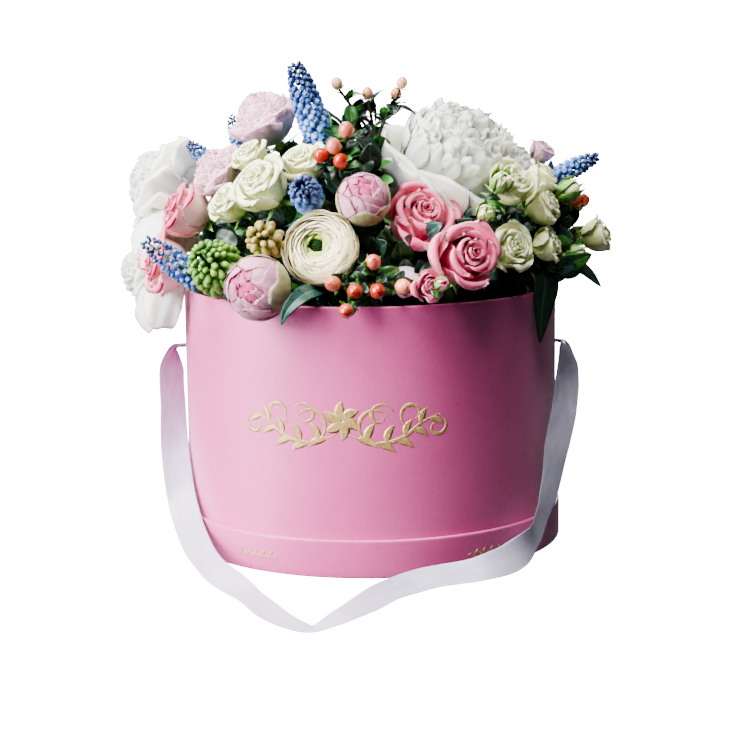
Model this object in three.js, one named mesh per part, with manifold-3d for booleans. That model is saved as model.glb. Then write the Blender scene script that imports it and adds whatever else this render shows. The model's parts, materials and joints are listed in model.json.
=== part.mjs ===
// A round flower box: a cardboard hat box that stands in its own upturned lid, with a satin ribbon
// handle and a dome of cut flowers whose stems stand in a block of floral foam.
// Millimetres, +Z up, front towards -Y. The origin is the middle of the underside of the lid.

import * as THREE from 'three';
import { mergeVertices } from 'three/addons/utils/BufferGeometryUtils.js';
import Module from 'manifold-3d';

const wasm = await Module();
wasm.setup();

// ---- Driving dimensions ----------------------------------------------------------------------

const GAP = 0.3;                    // left between pieces that rest on each other
const PAPER = 0.4;                  // covering paper
const BOARD = 1.8;                  // grey board of the box and the lid
const RING_SIDES = 48;              // facets of the round board pieces

const BOX_RADIUS = 129.5;           // outside of the box's paper
const RIM_Z = 178;                  // top edge of the box
const PAPER_TURN_IN = 18;           // covering paper folded over the rim into the box

const LID_RADIUS = 132.5;           // outside of the lid's paper
const LID_HEIGHT = 25;

const HOLE_Z = 135;                 // ribbon holes, on the X axis through the box's sides
const HOLE_RADIUS = 4.5;
const RIBBON_WIDTH = 20;
const RIBBON_THICKNESS = 0.8;
const RIBBON_STEPS_PER_STATION = 3;
const RIBBON_END_X = 124.5;         // where the ribbon meets its knots, inside the box
const GATHERED_WIDTH = 5.4;         // the ribbon bunched up to pass through a hole
const GATHERED_THICKNESS = 2;
const KNOT_RADIUS = 5.6;

const POT_RADIUS = 111;             // waterproof liner pot, clear of the ribbon's knots
const POT_WALL = 0.8;
const POT_RIM_Z = 172;
const POT_SIDES = 32;
const FOAM_RISE = 36;               // how far the foam is domed above the pot's rim

const BINDING_Z = 165;              // the stems point at this height on the axis
const STEM_DEPTH = 22;              // stem inside the foam
const STEM_SIDES = 5;
const THICK_STEM = 2.2;
const THIN_STEM = 1.5;
const NODE_RADIUS = 2;              // the swelling where a stem forks
const STEM_CLEARANCE = 0.45;        // the hole in the foam is this much wider than the stem
const LEAF_THICKNESS = 1;

// ---- Heights and radii that follow from them -------------------------------------------------

const lidBoardRadius = LID_RADIUS - PAPER - GAP;
const lidInnerRadius = lidBoardRadius - BOARD;
const lidPanelZ = PAPER + GAP;
const boxFloorZ = lidPanelZ + BOARD + GAP;
const boardRadius = BOX_RADIUS - PAPER - GAP;
const liningRadius = boardRadius - BOARD - GAP;
const wallZ = boxFloorZ + BOARD + GAP;
const potZ = wallZ + GAP;
const foamRadius = POT_RADIUS - POT_WALL - GAP;
const foamZ = potZ + POT_WALL + GAP;
const bindingPoint = new THREE.Vector3(0, 0, BINDING_Z);
const UP = new THREE.Vector3(0, 0, 1);

// ---- Materials -------------------------------------------------------------------------------

const finishes = {
  boxPaper: { color: 0xdb7fae, roughness: 0.55 },
  board: { color: 0x9a958c, roughness: 0.9 },
  lining: { color: 0xf2e9ec, roughness: 0.7 },
  ribbon: { color: 0xe9e6f2, roughness: 0.3 },
  pot: { color: 0x3a3d3b, roughness: 0.4 },
  foam: { color: 0x2f6b3a, roughness: 0.95 },
  whitePetal: { color: 0xf4f4ee, roughness: 0.6 },
  creamPetal: { color: 0xeff0d8, roughness: 0.6 },
  pinkPetal: { color: 0xe9829b, roughness: 0.6 },
  blushPetal: { color: 0xeec4d2, roughness: 0.6 },
  blueBell: { color: 0x5e80bf, roughness: 0.6 },
  greenBud: { color: 0x7fa05a, roughness: 0.6 },
  tanBud: { color: 0xb09a72, roughness: 0.6 },
  berry: { color: 0xd06a55, roughness: 0.3 },
  leaf: { color: 0x24402c, roughness: 0.5 },
};

function material(finish) {
  return new THREE.MeshStandardMaterial({ metalness: 0, ...finishes[finish] });
}

// ---- Shape helpers ---------------------------------------------------------------------------

// A geometry as a closed solid that can be joined and cut.
function solid(geometry) {
  const bare = geometry.clone();
  bare.deleteAttribute('normal');
  bare.deleteAttribute('uv');
  const merged = mergeVertices(bare, 1e-4);
  const corners = Array.from(merged.index.array);
  const kept = [];
  for (let i = 0; i < corners.length; i += 3) {
    const [a, b, c] = corners.slice(i, i + 3);
    if (a !== b && b !== c && c !== a) kept.push(a, b, c);
  }
  const mesh = new wasm.Mesh({
    numProp: 3,
    vertProperties: new Float32Array(merged.attributes.position.array),
    triVerts: new Uint32Array(kept),
  });
  return new wasm.Manifold(mesh);
}

function geometryOf(body) {
  const mesh = body.getMesh();
  const geometry = new THREE.BufferGeometry();
  geometry.setAttribute('position', new THREE.BufferAttribute(mesh.vertProperties, 3));
  geometry.setIndex(new THREE.BufferAttribute(mesh.triVerts, 1));
  return geometry;
}

function joined(geometries) {
  return geometries.map(solid).reduce((whole, piece) => whole.add(piece));
}

// A profile of [radius, height] points, outside edge going up, turned about Z.
function turned(profile, sides) {
  const points = profile.map(([radius, height]) => new THREE.Vector2(radius, height));
  return new THREE.LatheGeometry(points, sides).rotateX(Math.PI / 2);
}

function ring(outer, inner, height, sides) {
  return turned([[inner, 0], [outer, 0], [outer, height], [inner, height], [inner, 0]], sides);
}

function disc(radius, height, sides) {
  return turned([[0, 0], [radius, 0], [radius, height], [0, height]], sides);
}

// A straight rod between two points.
function rod(from, to, radius, sides = STEM_SIDES) {
  const along = new THREE.Vector3().subVectors(to, from);
  const geometry = new THREE.CylinderGeometry(radius, radius, along.length(), sides);
  const turn = new THREE.Quaternion().setFromUnitVectors(
    new THREE.Vector3(0, 1, 0), along.clone().normalize());
  const middle = new THREE.Vector3().addVectors(from, to).multiplyScalar(0.5);
  return geometry.applyQuaternion(turn).translate(middle.x, middle.y, middle.z);
}

// Moves a geometry that was made about the origin, +Z outwards, to a place and a direction.
function placed(geometry, place, direction) {
  const turn = new THREE.Quaternion().setFromUnitVectors(new THREE.Vector3(0, 0, 1), direction);
  return geometry.applyQuaternion(turn).translate(place.x, place.y, place.z);
}

// A flat band that follows a curve. widthAt, thicknessAt and sideAt give its width, thickness and
// the direction of its width at t = 0..1 along the curve's points.
function band(curve, widthAt, thicknessAt, sideAt, steps) {
  const geometry = new THREE.BoxGeometry(1, 1, 1, 1, 1, steps);
  const position = geometry.attributes.position;
  for (let i = 0; i < position.count; i += 1) {
    const t = position.getZ(i) + 0.5;
    const centre = curve.getPoint(t);
    const tangent = curve.getTangent(t);
    const face = new THREE.Vector3().crossVectors(tangent, sideAt(t)).normalize();
    const side = new THREE.Vector3().crossVectors(face, tangent).normalize();
    const across = position.getX(i) * widthAt(t);
    const through = position.getY(i) * thicknessAt(t);
    centre.addScaledVector(side, across).addScaledVector(face, through);
    position.setXYZ(i, centre.x, centre.y, centre.z);
  }
  return geometry;
}

function vector([x, y, z]) {
  return new THREE.Vector3(x, y, z);
}

// A value that passes through evenly spaced stops as t goes from 0 to 1.
function blended(stops, t) {
  const place = t * (stops.length - 1);
  const index = Math.min(Math.floor(place), stops.length - 2);
  return stops[index].clone().lerp(stops[index + 1], place - index);
}

function part(name, geometry, finish, group) {
  const mesh = new THREE.Mesh(geometry, material(finish));
  mesh.name = name;
  group.add(mesh);
  return mesh;
}

// ---- The lid, upturned as a tray -------------------------------------------------------------

function addLid(object) {
  const lid = new THREE.Group();
  const skin = turned([
    [0, 0], [LID_RADIUS, 0], [LID_RADIUS, LID_HEIGHT], [LID_RADIUS - PAPER, LID_HEIGHT],
    [LID_RADIUS - PAPER, PAPER], [0, PAPER],
  ], RING_SIDES);
  part('lid_wrap', skin, 'boxPaper', lid);
  const rimHeight = LID_HEIGHT - lidPanelZ;
  const rim = part('lid_rim', ring(lidBoardRadius, lidInnerRadius, rimHeight, RING_SIDES),
    'board', lid);
  rim.position.z = lidPanelZ;
  const panel = part('lid_panel', disc(lidInnerRadius - GAP, BOARD, RING_SIDES), 'board', lid);
  panel.position.z = lidPanelZ;
  object.add(lid);
}

// ---- The box ---------------------------------------------------------------------------------

// The two ribbon holes, as one rod right across the box.
function holeCutter() {
  const reach = BOX_RADIUS + BOARD;
  return rod(new THREE.Vector3(-reach, 0, HOLE_Z), new THREE.Vector3(reach, 0, HOLE_Z),
    HOLE_RADIUS, 16);
}

function bored(geometry) {
  return geometryOf(solid(geometry).subtract(solid(holeCutter())));
}

function addBox(object) {
  const box = new THREE.Group();
  const floor = part('box_floor', disc(boardRadius, BOARD, RING_SIDES), 'board', box);
  floor.position.z = boxFloorZ;

  const wallTop = RIM_Z - PAPER - GAP;
  const wall = ring(boardRadius, boardRadius - BOARD, wallTop - wallZ, RING_SIDES)
    .translate(0, 0, wallZ);
  part('box_wall', bored(wall), 'board', box);

  const turnInZ = RIM_Z - PAPER_TURN_IN;
  const wrap = turned([
    [BOX_RADIUS - PAPER, boxFloorZ], [BOX_RADIUS, boxFloorZ], [BOX_RADIUS, RIM_Z],
    [liningRadius - PAPER, RIM_Z], [liningRadius - PAPER, turnInZ], [liningRadius, turnInZ],
    [liningRadius, RIM_Z - PAPER], [BOX_RADIUS - PAPER, RIM_Z - PAPER],
    [BOX_RADIUS - PAPER, boxFloorZ],
  ], RING_SIDES);
  part('box_wrap', bored(wrap), 'boxPaper', box);

  const lining = ring(liningRadius, liningRadius - PAPER, turnInZ - GAP - wallZ, RING_SIDES)
    .translate(0, 0, wallZ);
  part('wall_lining', bored(lining), 'lining', box);
  object.add(box);
}

// ---- The ribbon handle -----------------------------------------------------------------------

// Stations along the ribbon, from the left hole round the front of the lid to the right hole:
// the middle of the ribbon, and the direction from its outer or lower edge to its inner edge.
const ribbonStations = [
  [[-RIBBON_END_X, 0, HOLE_Z], [0, 1, 0]],
  [[-131, 0, HOLE_Z], [0, 1, 0]],
  [[-137, -3, 134], [0.4, 0.9, 0]],
  [[-139.5, -10, 120], [0.8, 0.6, 0]],
  [[-138.5, -21, 94], [0.8, 0.55, 0.1]],
  [[-136, -36, 64], [0.7, 0.45, 0.45]],
  [[-131, -53, 38], [0.65, 0.5, 0.55]],
  [[-122, -78, 19], [0.6, 0.6, 0.5]],
  [[-110, -112, 9], [0.6, 0.6, 0.5]],
  [[-94, -150, 7], [0.6, 0.6, 0.5]],
  [[-78, -189, 7], [0.6, 0.6, 0.5]],
  [[-63, -224, 7], [0.5, 0.65, 0.5]],
  [[-48, -243, 8], [0.25, 0.7, 0.65]],
  [[-33, -244, 8], [0, 0.7, 0.7]],
  [[-18, -228, 7], [-0.2, 0.75, 0.6]],
  [[-4, -205, 7], [-0.3, 0.75, 0.6]],
  [[13, -176, 7], [-0.3, 0.75, 0.6]],
  [[30, -155, 7], [-0.2, 0.75, 0.6]],
  [[48, -146, 8], [-0.1, 0.7, 0.7]],
  [[68, -133, 9], [-0.2, 0.5, 0.8]],
  [[88, -112, 11], [-0.4, 0, 0.9]],
  [[104, -93, 18], [-0.4, -0.6, 0.6]],
  [[114, -78, 30], [-0.5, -0.8, 0.1]],
  [[121, -64, 50], [-0.7, -0.7, 0]],
  [[126, -58, 72], [-0.85, -0.5, 0.1]],
  [[131.5, -48, 94], [-0.85, -0.45, 0.1]],
  [[135, -37, 112], [-0.85, -0.5, 0.1]],
  [[136.5, -22, 127], [-0.6, -0.75, 0.1]],
  [[136, -7, 134.5], [-0.2, -0.95, 0]],
  [[131, 0, HOLE_Z], [0, -1, 0]],
  [[RIBBON_END_X, 0, HOLE_Z], [0, -1, 0]],
];

function addHandle(object) {
  const handle = new THREE.Group();
  const curve = new THREE.CatmullRomCurve3(
    ribbonStations.map(([middle]) => vector(middle)), false, 'centripetal');
  const sides = ribbonStations.map(([, side]) => vector(side).normalize());
  const spans = ribbonStations.length - 1;
  // The ribbon is gathered from each end to the second station, and full width from the fourth.
  const fullness = (t) => THREE.MathUtils.smoothstep(Math.min(t, 1 - t) * spans, 1.4, 3.2);
  const width = (t) => THREE.MathUtils.lerp(GATHERED_WIDTH, RIBBON_WIDTH, fullness(t));
  const thickness = (t) => THREE.MathUtils.lerp(GATHERED_THICKNESS, RIBBON_THICKNESS, fullness(t));
  const side = (t) => blended(sides, t);
  const strip = band(curve, width, thickness, side, spans * RIBBON_STEPS_PER_STATION);
  part('ribbon_handle', strip, 'ribbon', handle);

  for (const [name, sign] of [['ribbon_knot_left', -1], ['ribbon_knot_right', 1]]) {
    const knot = part(name, new THREE.SphereGeometry(KNOT_RADIUS, 10, 6), 'ribbon', handle);
    knot.position.set(sign * (RIBBON_END_X - GAP - KNOT_RADIUS), 0, HOLE_Z);
  }
  object.add(handle);
}

// ---- Flower heads, made about the origin with the face towards +Z ----------------------------

const headSides = 10;

function headProfile(points) {
  return (radius) => turned(points.map(([r, z]) => [r * radius, z * radius]), headSides);
}

const heads = {
  rose: headProfile([[0, -0.9], [0.75, -0.65], [1, 0.05], [0.8, 0.65], [0.4, 0.85], [0, 0.8]]),
  peony: headProfile([[0, -0.85], [0.75, -0.6], [1, 0.05], [0.8, 0.6], [0.4, 0.88], [0, 0.95]]),
  bud: headProfile([[0, -1], [0.7, -0.7], [1, 0.05], [0.8, 0.6], [0.4, 0.92], [0, 1]]),
  ranunculus: headProfile([[0, -0.8], [0.75, -0.6], [1, 0.05], [0.8, 0.55], [0.45, 0.72], [0, 0.6]]),
};

// A spike of small bells, with its foot at the origin.
function spike(length, radius) {
  const profile = [[0, 0], [0.9, 0.08], [1, 0.35], [0.7, 0.75], [0.3, 0.97], [0, 1]];
  return turned(profile.map(([r, z]) => [r * radius, z * length]), 8);
}

// ---- Stems -----------------------------------------------------------------------------------

// A place on the dome: bearing from the front, + to the right, and height angle, in degrees, and
// distance from the binding point.
function spot(bearing, rise, reach) {
  const turn = THREE.MathUtils.degToRad(bearing);
  const lift = THREE.MathUtils.degToRad(rise);
  const flat = Math.cos(lift) * reach;
  return new THREE.Vector3(flat * Math.sin(turn), -flat * Math.cos(turn), Math.sin(lift) * reach)
    .add(bindingPoint);
}

// How far from the binding point a stem in this direction comes out of the foam's dome.
function foamDepth(direction) {
  const flat = Math.hypot(direction.x, direction.y) / foamRadius;
  const up = direction.z / FOAM_RISE;
  const start = (BINDING_Z - POT_RIM_Z) / FOAM_RISE;
  const a = flat ** 2 + up ** 2;
  const b = 2 * up * start;
  const c = start ** 2 - 1;
  return (-b + Math.sqrt(b ** 2 - 4 * a * c)) / (2 * a);
}

const stemHoles = [];

// A stem from a point outside the foam down to its cut end inside, and its hole in the foam.
function stem(top, radius) {
  const direction = new THREE.Vector3().subVectors(top, bindingPoint).normalize();
  const surface = foamDepth(direction);
  const foot = bindingPoint.clone().addScaledVector(direction, surface - STEM_DEPTH);
  const holeFoot = foot.clone().addScaledVector(direction, -STEM_CLEARANCE);
  const mouth = bindingPoint.clone().addScaledVector(direction, surface + STEM_DEPTH);
  stemHoles.push(rod(holeFoot, mouth, radius + STEM_CLEARANCE));
  return rod(foot, top, radius);
}

// ---- The flowers -----------------------------------------------------------------------------

// Single heads: [name, kind, finish, bearing, rise, reach, radius].
const singles = [
  ['peony_white_crown', 'peony', 'whitePetal', 71, 56, 120, 44],
  ['peony_white_left', 'peony', 'whitePetal', -99, 29, 159, 29],
  ['peony_white_low', 'peony', 'whitePetal', -94, 8, 155, 17],
  ['peony_white_back', 'peony', 'whitePetal', 118, 38, 124, 33],
  ['peony_pink_top', 'peony', 'blushPetal', -72, 60, 144, 20.5],
  ['peony_pink_left', 'peony', 'blushPetal', -69, 41, 140, 15.5],
  ['peony_pink_back', 'peony', 'blushPetal', -158, 36, 120, 30],
  ['peony_bud_front', 'bud', 'blushPetal', -29, 10, 149, 20],
  ['peony_bud_centre', 'bud', 'blushPetal', -2, 38, 128, 18],
  ['peony_bud_back', 'bud', 'blushPetal', 150, 14, 144, 19],
  ['rose_blush_upper', 'rose', 'blushPetal', -73, 27, 146, 18],
  ['rose_blush_lower', 'rose', 'blushPetal', -72, 12, 148, 18],
  ['rose_blush_back', 'rose', 'blushPetal', 174, 15, 142, 20],
  ['rose_white_front', 'rose', 'creamPetal', -40, 39, 138, 15.5],
  ['rose_white_left', 'rose', 'creamPetal', -54, 33, 136, 12.5],
  ['rose_white_top', 'rose', 'creamPetal', -53, 47, 143, 11],
  ['rose_white_rear', 'rose', 'creamPetal', -32, 51, 128, 13.5],
  ['rose_white_right_back', 'rose', 'creamPetal', 104, 14, 144, 18],
  ['rose_white_left_back', 'rose', 'creamPetal', -140, 15, 142, 19],
  ['rose_white_side_back', 'rose', 'creamPetal', -126, 38, 132, 21],
  ['rose_white_crown_back', 'rose', 'creamPetal', 175, 66, 80, 26],
  ['rose_pink_left', 'rose', 'pinkPetal', 22, 36, 108, 21],
  ['rose_pink_right', 'rose', 'pinkPetal', 27, 18, 140, 22],
  ['rose_pink_back', 'rose', 'pinkPetal', 160, 36, 118, 26],
  ['rose_pink_right_back', 'rose', 'pinkPetal', 127, 14, 142, 20],
  ['ranunculus_front', 'ranunculus', 'creamPetal', -16, 23, 122, 23.5],
  ['ranunculus_back', 'ranunculus', 'creamPetal', -163, 14, 142, 20],
];

// Spikes: [name, finish, foot of the spike, tip of the spike, radius], both ends as spots.
const spikes = [
  ['muscari_left_front', 'blueBell', [-54, 10, 142], [-62, 18, 177], 6.5],
  ['muscari_left_back', 'blueBell', [-82, 42, 144], [-86, 42, 167], 5],
  ['muscari_rear', 'blueBell', [-89, 50, 141], [-91, 54, 161], 4],
  ['muscari_tall', 'blueBell', [-32, 62, 124], [-45, 67.5, 179], 9.5],
  ['muscari_centre', 'blueBell', [-23, 38, 126], [-22, 38, 146], 10],
  ['muscari_right', 'blueBell', [80, 34, 154], [87, 32, 187], 6],
  ['hyacinth_green', 'greenBud', [-47, 12, 140], [-46, 21, 152], 14.5],
  ['hyacinth_tan', 'tanBud', [-33, 23, 130], [-33, 25, 145], 8.5],
  ['hyacinth_back', 'greenBud', [-117, 14, 136], [-117, 24, 150], 14],
];

// Branches: [name, finish, fork, heads], the fork as a spot and each head as a spot and a radius.
const branches = [
  ['spray_white_high', 'creamPetal', [58, 27, 122], [
    [62, 28, 149, 13], [48, 35, 152, 15], [68, 35, 153, 11.5], [70, 29, 163, 8],
    [37, 29, 143, 6.5],
  ]],
  ['spray_white_low', 'creamPetal', [52, 17, 116], [
    [44, 19, 140, 15], [59, 18, 145, 11], [66, 14, 156, 6.5],
  ]],
  ['spray_white_side', 'creamPetal', [82, 15, 135], [[82, 16, 165, 12], [91, 17, 152, 6]]],
  ['spray_blush_rear', 'blushPetal', [92, 25, 128], [[85, 41, 158, 9]]],
  ['spray_pink_front', 'pinkPetal', [15, 12, 122], [[16, 11, 140, 10], [18, 11, 150, 5]]],
  ['berries_upper', 'berry', [-13, 50, 128], [
    [-9, 54, 152, 6], [-14, 51, 145, 6], [-19, 49, 141, 6], [-11, 48, 139, 6],
  ]],
  ['berries_crown', 'berry', [10, 76, 118], [
    [-28, 74, 158, 4.5], [0, 78, 148, 4.5], [38, 76, 156, 4.5], [50, 80, 146, 4.5],
  ]],
  ['berries_low', 'berry', [0, 15, 118], [
    [-10, 12, 138, 6], [-4, 10, 137, 6], [2, 10, 138, 6], [9, 11, 137, 6], [1, 18, 134, 6],
    [-6, 5, 145, 5.5],
  ]],
  ['berries_right', 'berry', [86, 26, 138], [[81, 26, 160, 5.5], [86, 25, 163, 5.5],
    [90, 24, 158, 5.5]]],
];

// Leaves on their own stems: [name, half width, points of the middle line from the stem outwards].
const leaves = [
  ['leaf_over_rim', 8, [[97, -49, 190], [112, -57, 194], [121, -61, 186], [120, -62, 170],
    [117, -62, 148]]],
  ['leaf_front', 5.5, [[-31, -108, 187], [-36, -124, 188], [-44, -136, 186], [-52, -144, 179],
    [-56, -149, 170]]],
  ['leaf_right', 8, [[98, -30, 192], [122, -38, 196], [144, -44, 190], [157, -46, 178]]],
];

// One flower, leaf or sprig joined from its pieces, with its mesh placed at its own middle.
function planted(name, pieces, place, finish, arrangement) {
  const geometry = geometryOf(joined(pieces)).translate(-place.x, -place.y, -place.z);
  part(name, geometry, finish, arrangement).position.copy(place);
}

function addSingles(arrangement) {
  for (const [name, kind, finish, bearing, rise, reach, radius] of singles) {
    const place = spot(bearing, rise, reach);
    const outwards = new THREE.Vector3().subVectors(place, bindingPoint).normalize();
    const head = placed(heads[kind](radius), place, outwards);
    planted(name, [head, stem(place, THICK_STEM)], place, finish, arrangement);
  }
}

function addSpikes(arrangement) {
  for (const [name, finish, footSpot, tipSpot, radius] of spikes) {
    const foot = spot(...footSpot);
    const along = new THREE.Vector3().subVectors(spot(...tipSpot), foot);
    const length = along.length();
    along.normalize();
    const bells = placed(spike(length, radius), foot, along);
    const stalkTop = foot.clone().addScaledVector(along, length / 3);
    const stalk = rod(foot, stalkTop, THIN_STEM);
    planted(name, [bells, stalk, stem(foot, THIN_STEM)], foot, finish, arrangement);
  }
}

function addBranches(arrangement) {
  for (const [name, finish, forkSpot, buds] of branches) {
    const fork = spot(...forkSpot);
    const pieces = [stem(fork, THIN_STEM)];
    for (const [bearing, rise, reach, radius] of buds) {
      const place = spot(bearing, rise, reach);
      pieces.push(rod(fork, place, THIN_STEM));
      pieces.push(new THREE.SphereGeometry(radius, 6, 5).translate(place.x, place.y, place.z));
    }
    pieces.push(new THREE.SphereGeometry(NODE_RADIUS, 5, 4).translate(fork.x, fork.y, fork.z));
    planted(name, pieces, fork, finish, arrangement);
  }
}

function addLeaves(arrangement) {
  for (const [name, halfWidth, points] of leaves) {
    const curve = new THREE.CatmullRomCurve3(points.map(vector), false, 'centripetal');
    const blade = (t) => Math.sin(Math.PI * THREE.MathUtils.clamp((t - 0.2) / 0.85, 0, 1));
    const width = (t) => THIN_STEM + 2 * halfWidth * blade(t);
    const thickness = () => LEAF_THICKNESS;
    const side = (t) => new THREE.Vector3().crossVectors(UP, curve.getPoint(t));
    const leaf = band(curve, width, thickness, side, 10);
    const foot = vector(points[0]);
    planted(name, [leaf, stem(foot, THIN_STEM)], foot, 'leaf', arrangement);
  }
}

// ---- The liner pot and its foam --------------------------------------------------------------

function addPot(arrangement) {
  const pot = turned([
    [0, potZ], [POT_RADIUS, potZ], [POT_RADIUS, POT_RIM_Z], [POT_RADIUS - POT_WALL, POT_RIM_Z],
    [POT_RADIUS - POT_WALL, potZ + POT_WALL], [0, potZ + POT_WALL],
  ], POT_SIDES);
  part('liner_pot', pot, 'pot', arrangement);
}

function addFoam(arrangement) {
  const profile = [[0, foamZ], [foamRadius, foamZ]];
  const domeSteps = 4;
  for (let step = 0; step <= domeSteps; step += 1) {
    const angle = (Math.PI / 2) * (step / domeSteps);
    const radius = step === domeSteps ? 0 : foamRadius * Math.cos(angle);
    profile.push([radius, POT_RIM_Z + FOAM_RISE * Math.sin(angle)]);
  }
  const block = solid(turned(profile, POT_SIDES));
  const drilled = stemHoles.map(solid).reduce((whole, hole) => whole.subtract(hole), block);
  part('foam_block', geometryOf(drilled), 'foam', arrangement);
}

function addArrangement(object) {
  const arrangement = new THREE.Group();
  addPot(arrangement);
  addSingles(arrangement);
  addSpikes(arrangement);
  addBranches(arrangement);
  addLeaves(arrangement);
  addFoam(arrangement);
  object.add(arrangement);
}

const flowerBox = new THREE.Group();
addLid(flowerBox);
addBox(flowerBox);
addHandle(flowerBox);
addArrangement(flowerBox);

export default flowerBox;
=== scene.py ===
import functools
import json
from math import asin, cos, degrees, hypot, log, pi, radians, sin, sqrt

import bmesh
import bpy
import numpy as np
from mathutils import Euler, Matrix, Vector
from numpy.linalg import norm
from numpy.random import default_rng


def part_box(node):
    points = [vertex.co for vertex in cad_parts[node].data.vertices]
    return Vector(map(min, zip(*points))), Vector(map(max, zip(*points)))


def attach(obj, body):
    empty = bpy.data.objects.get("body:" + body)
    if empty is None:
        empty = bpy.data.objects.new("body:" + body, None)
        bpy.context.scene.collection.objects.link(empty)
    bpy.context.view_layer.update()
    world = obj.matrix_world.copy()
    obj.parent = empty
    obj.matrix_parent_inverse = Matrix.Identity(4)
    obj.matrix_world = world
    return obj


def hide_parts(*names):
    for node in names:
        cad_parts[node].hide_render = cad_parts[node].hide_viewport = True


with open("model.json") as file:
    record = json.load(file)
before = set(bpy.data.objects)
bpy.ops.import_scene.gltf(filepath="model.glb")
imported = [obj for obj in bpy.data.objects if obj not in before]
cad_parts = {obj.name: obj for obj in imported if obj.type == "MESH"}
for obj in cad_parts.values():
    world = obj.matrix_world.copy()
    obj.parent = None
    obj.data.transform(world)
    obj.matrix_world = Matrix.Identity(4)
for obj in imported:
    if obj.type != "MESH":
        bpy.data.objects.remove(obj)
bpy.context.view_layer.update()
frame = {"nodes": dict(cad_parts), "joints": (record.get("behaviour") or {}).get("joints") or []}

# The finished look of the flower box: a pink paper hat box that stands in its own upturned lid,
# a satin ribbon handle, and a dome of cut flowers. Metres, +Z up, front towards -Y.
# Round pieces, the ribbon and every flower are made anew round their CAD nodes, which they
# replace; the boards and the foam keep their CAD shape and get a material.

MM = 0.001
GOLDEN_TURN = pi * (3 - sqrt(5))
UP = np.array([0.0, 0.0, 1.0])
UPRIGHT = (np.zeros(3), UP, 1.0)               # at the origin, at full size
BINDING = np.array([0.0, 0.0, 165 * MM])       # every stem points at this place on the axis
FLOWER_STEM = 2.2 * MM                         # radii of stems
THIN_STEM = 1.5 * MM
LEAF_THICKNESS = 0.6 * MM
LOOSE_PETAL_THICKNESS = 0.5 * MM
PEONY_PETAL_THICKNESS = 0.008                  # beside the head's radius
LEAF_FULLEST = 0.42                            # where along its length a leaf is widest


# ---- Small helpers ----

def unit(vector):
    return vector / norm(vector)


def units(vectors):
    return vectors / np.maximum(norm(vectors, axis=-1, keepdims=True), 1e-12)


def blend(a, b, share):
    return a + (b - a) * share


def smoothstep(value, low, high):
    share = np.clip((value - low) / (high - low), 0, 1)
    return share * share * (3 - 2 * share)


def around(radius, turn, height):
    """Points at a radius and height, turned from the front (-Y) to the right."""
    return np.stack(np.broadcast_arrays(radius * np.sin(turn), -radius * np.cos(turn), height), -1)


def spot(bearing, rise, reach):
    """A place on the dome: bearing from the front, + to the right, and height angle, in degrees,
    and distance from the binding point in millimetres."""
    lift = radians(rise)
    return BINDING + MM * around(cos(lift) * reach, radians(bearing), sin(lift) * reach)


def turn_to(axis, roll=0.0):
    """The rotation, as three columns, that stands +Z along axis and then rolls about it."""
    towards = Vector(UP).rotation_difference(Vector(axis)).to_matrix()
    return np.array(towards @ Matrix.Rotation(roll, 3, "Z"))


def smooth_line(points):
    """A centripetal Catmull-Rom line through points, as a function of t = 0..1 over the points."""
    knots = np.array(points, float)
    ends = 2 * knots[0] - knots[1], 2 * knots[-1] - knots[-2]
    padded = np.vstack([ends[0], knots, ends[1]])
    steps = np.maximum(norm(np.diff(padded, axis=0), axis=1), 1e-9) ** 0.5
    gaps = np.diff(padded, axis=0)
    count = len(knots) - 1

    def at(t):
        t = np.asarray(t, float)
        index = np.clip((t * count).astype(int), 0, count - 1)
        w = (t * count - index)[..., None]
        before, here, after = (steps[index + k][..., None] for k in range(3))
        gap0, gap1, gap2 = (gaps[index + k] for k in range(3))
        slope0 = (gap0 / before - (gap0 + gap1) / (before + here) + gap1 / here) * here
        slope1 = (gap1 / here - (gap1 + gap2) / (here + after) + gap2 / after) * here
        start = padded[index + 1]
        cubic = -2 * gap1 + slope0 + slope1
        square = 3 * gap1 - 2 * slope0 - slope1
        return start + w * (slope0 + w * (square + w * cubic))

    return at


def by_length(points, samples=60):
    """The same line as a function of the share of its length."""
    dense = smooth_line(points)(np.linspace(0, 1, samples))
    run = np.concatenate([[0], np.cumsum(norm(np.diff(dense, axis=0), axis=1))])
    run /= run[-1]

    def at(share):
        return np.stack([np.interp(share, run, dense[:, k]) for k in range(dense.shape[1])], -1)

    return at


def placed(name, data):
    """A new object in the scene."""
    made = bpy.data.objects.new(name, data)
    bpy.context.scene.collection.objects.link(made)
    return made


# ---- Mesh making ----

@functools.cache
def sheet_topology(rows, columns):
    """(quads, places of the inner points) of a thin closed sheet whose two sides share an edge."""
    upper = np.arange(rows * columns).reshape(rows, columns)
    lower = upper.copy()
    inside = upper[1:-1, 1:-1]
    lower[1:-1, 1:-1] = rows * columns + np.arange(inside.size).reshape(inside.shape)

    def quads(index):
        corners = (index[:-1, :-1], index[:-1, 1:], index[1:, 1:], index[1:, :-1])
        return np.stack(corners, -1).reshape(-1, 4)

    return np.concatenate([quads(upper), quads(lower)[:, ::-1]]), inside.ravel()


@functools.cache
def ring_topology(rings, sides):
    """(loops, sizes) of a tube of rings, each end closed with a point of its own."""
    index = np.arange(rings * sides).reshape(rings, sides)
    ahead = np.roll(index, -1, axis=1)
    quads = np.stack([index[:-1], ahead[:-1], ahead[1:], index[1:]], -1)
    first, last = np.full(sides, rings * sides), np.full(sides, rings * sides + 1)
    fans = np.stack([[ahead[0], index[0], first], [index[-1], ahead[-1], last]]).swapaxes(1, 2)
    loops = np.concatenate([quads.ravel(), fans.ravel()])
    return loops, np.repeat([4, 3], [quads.size // 4, 2 * sides])


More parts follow.
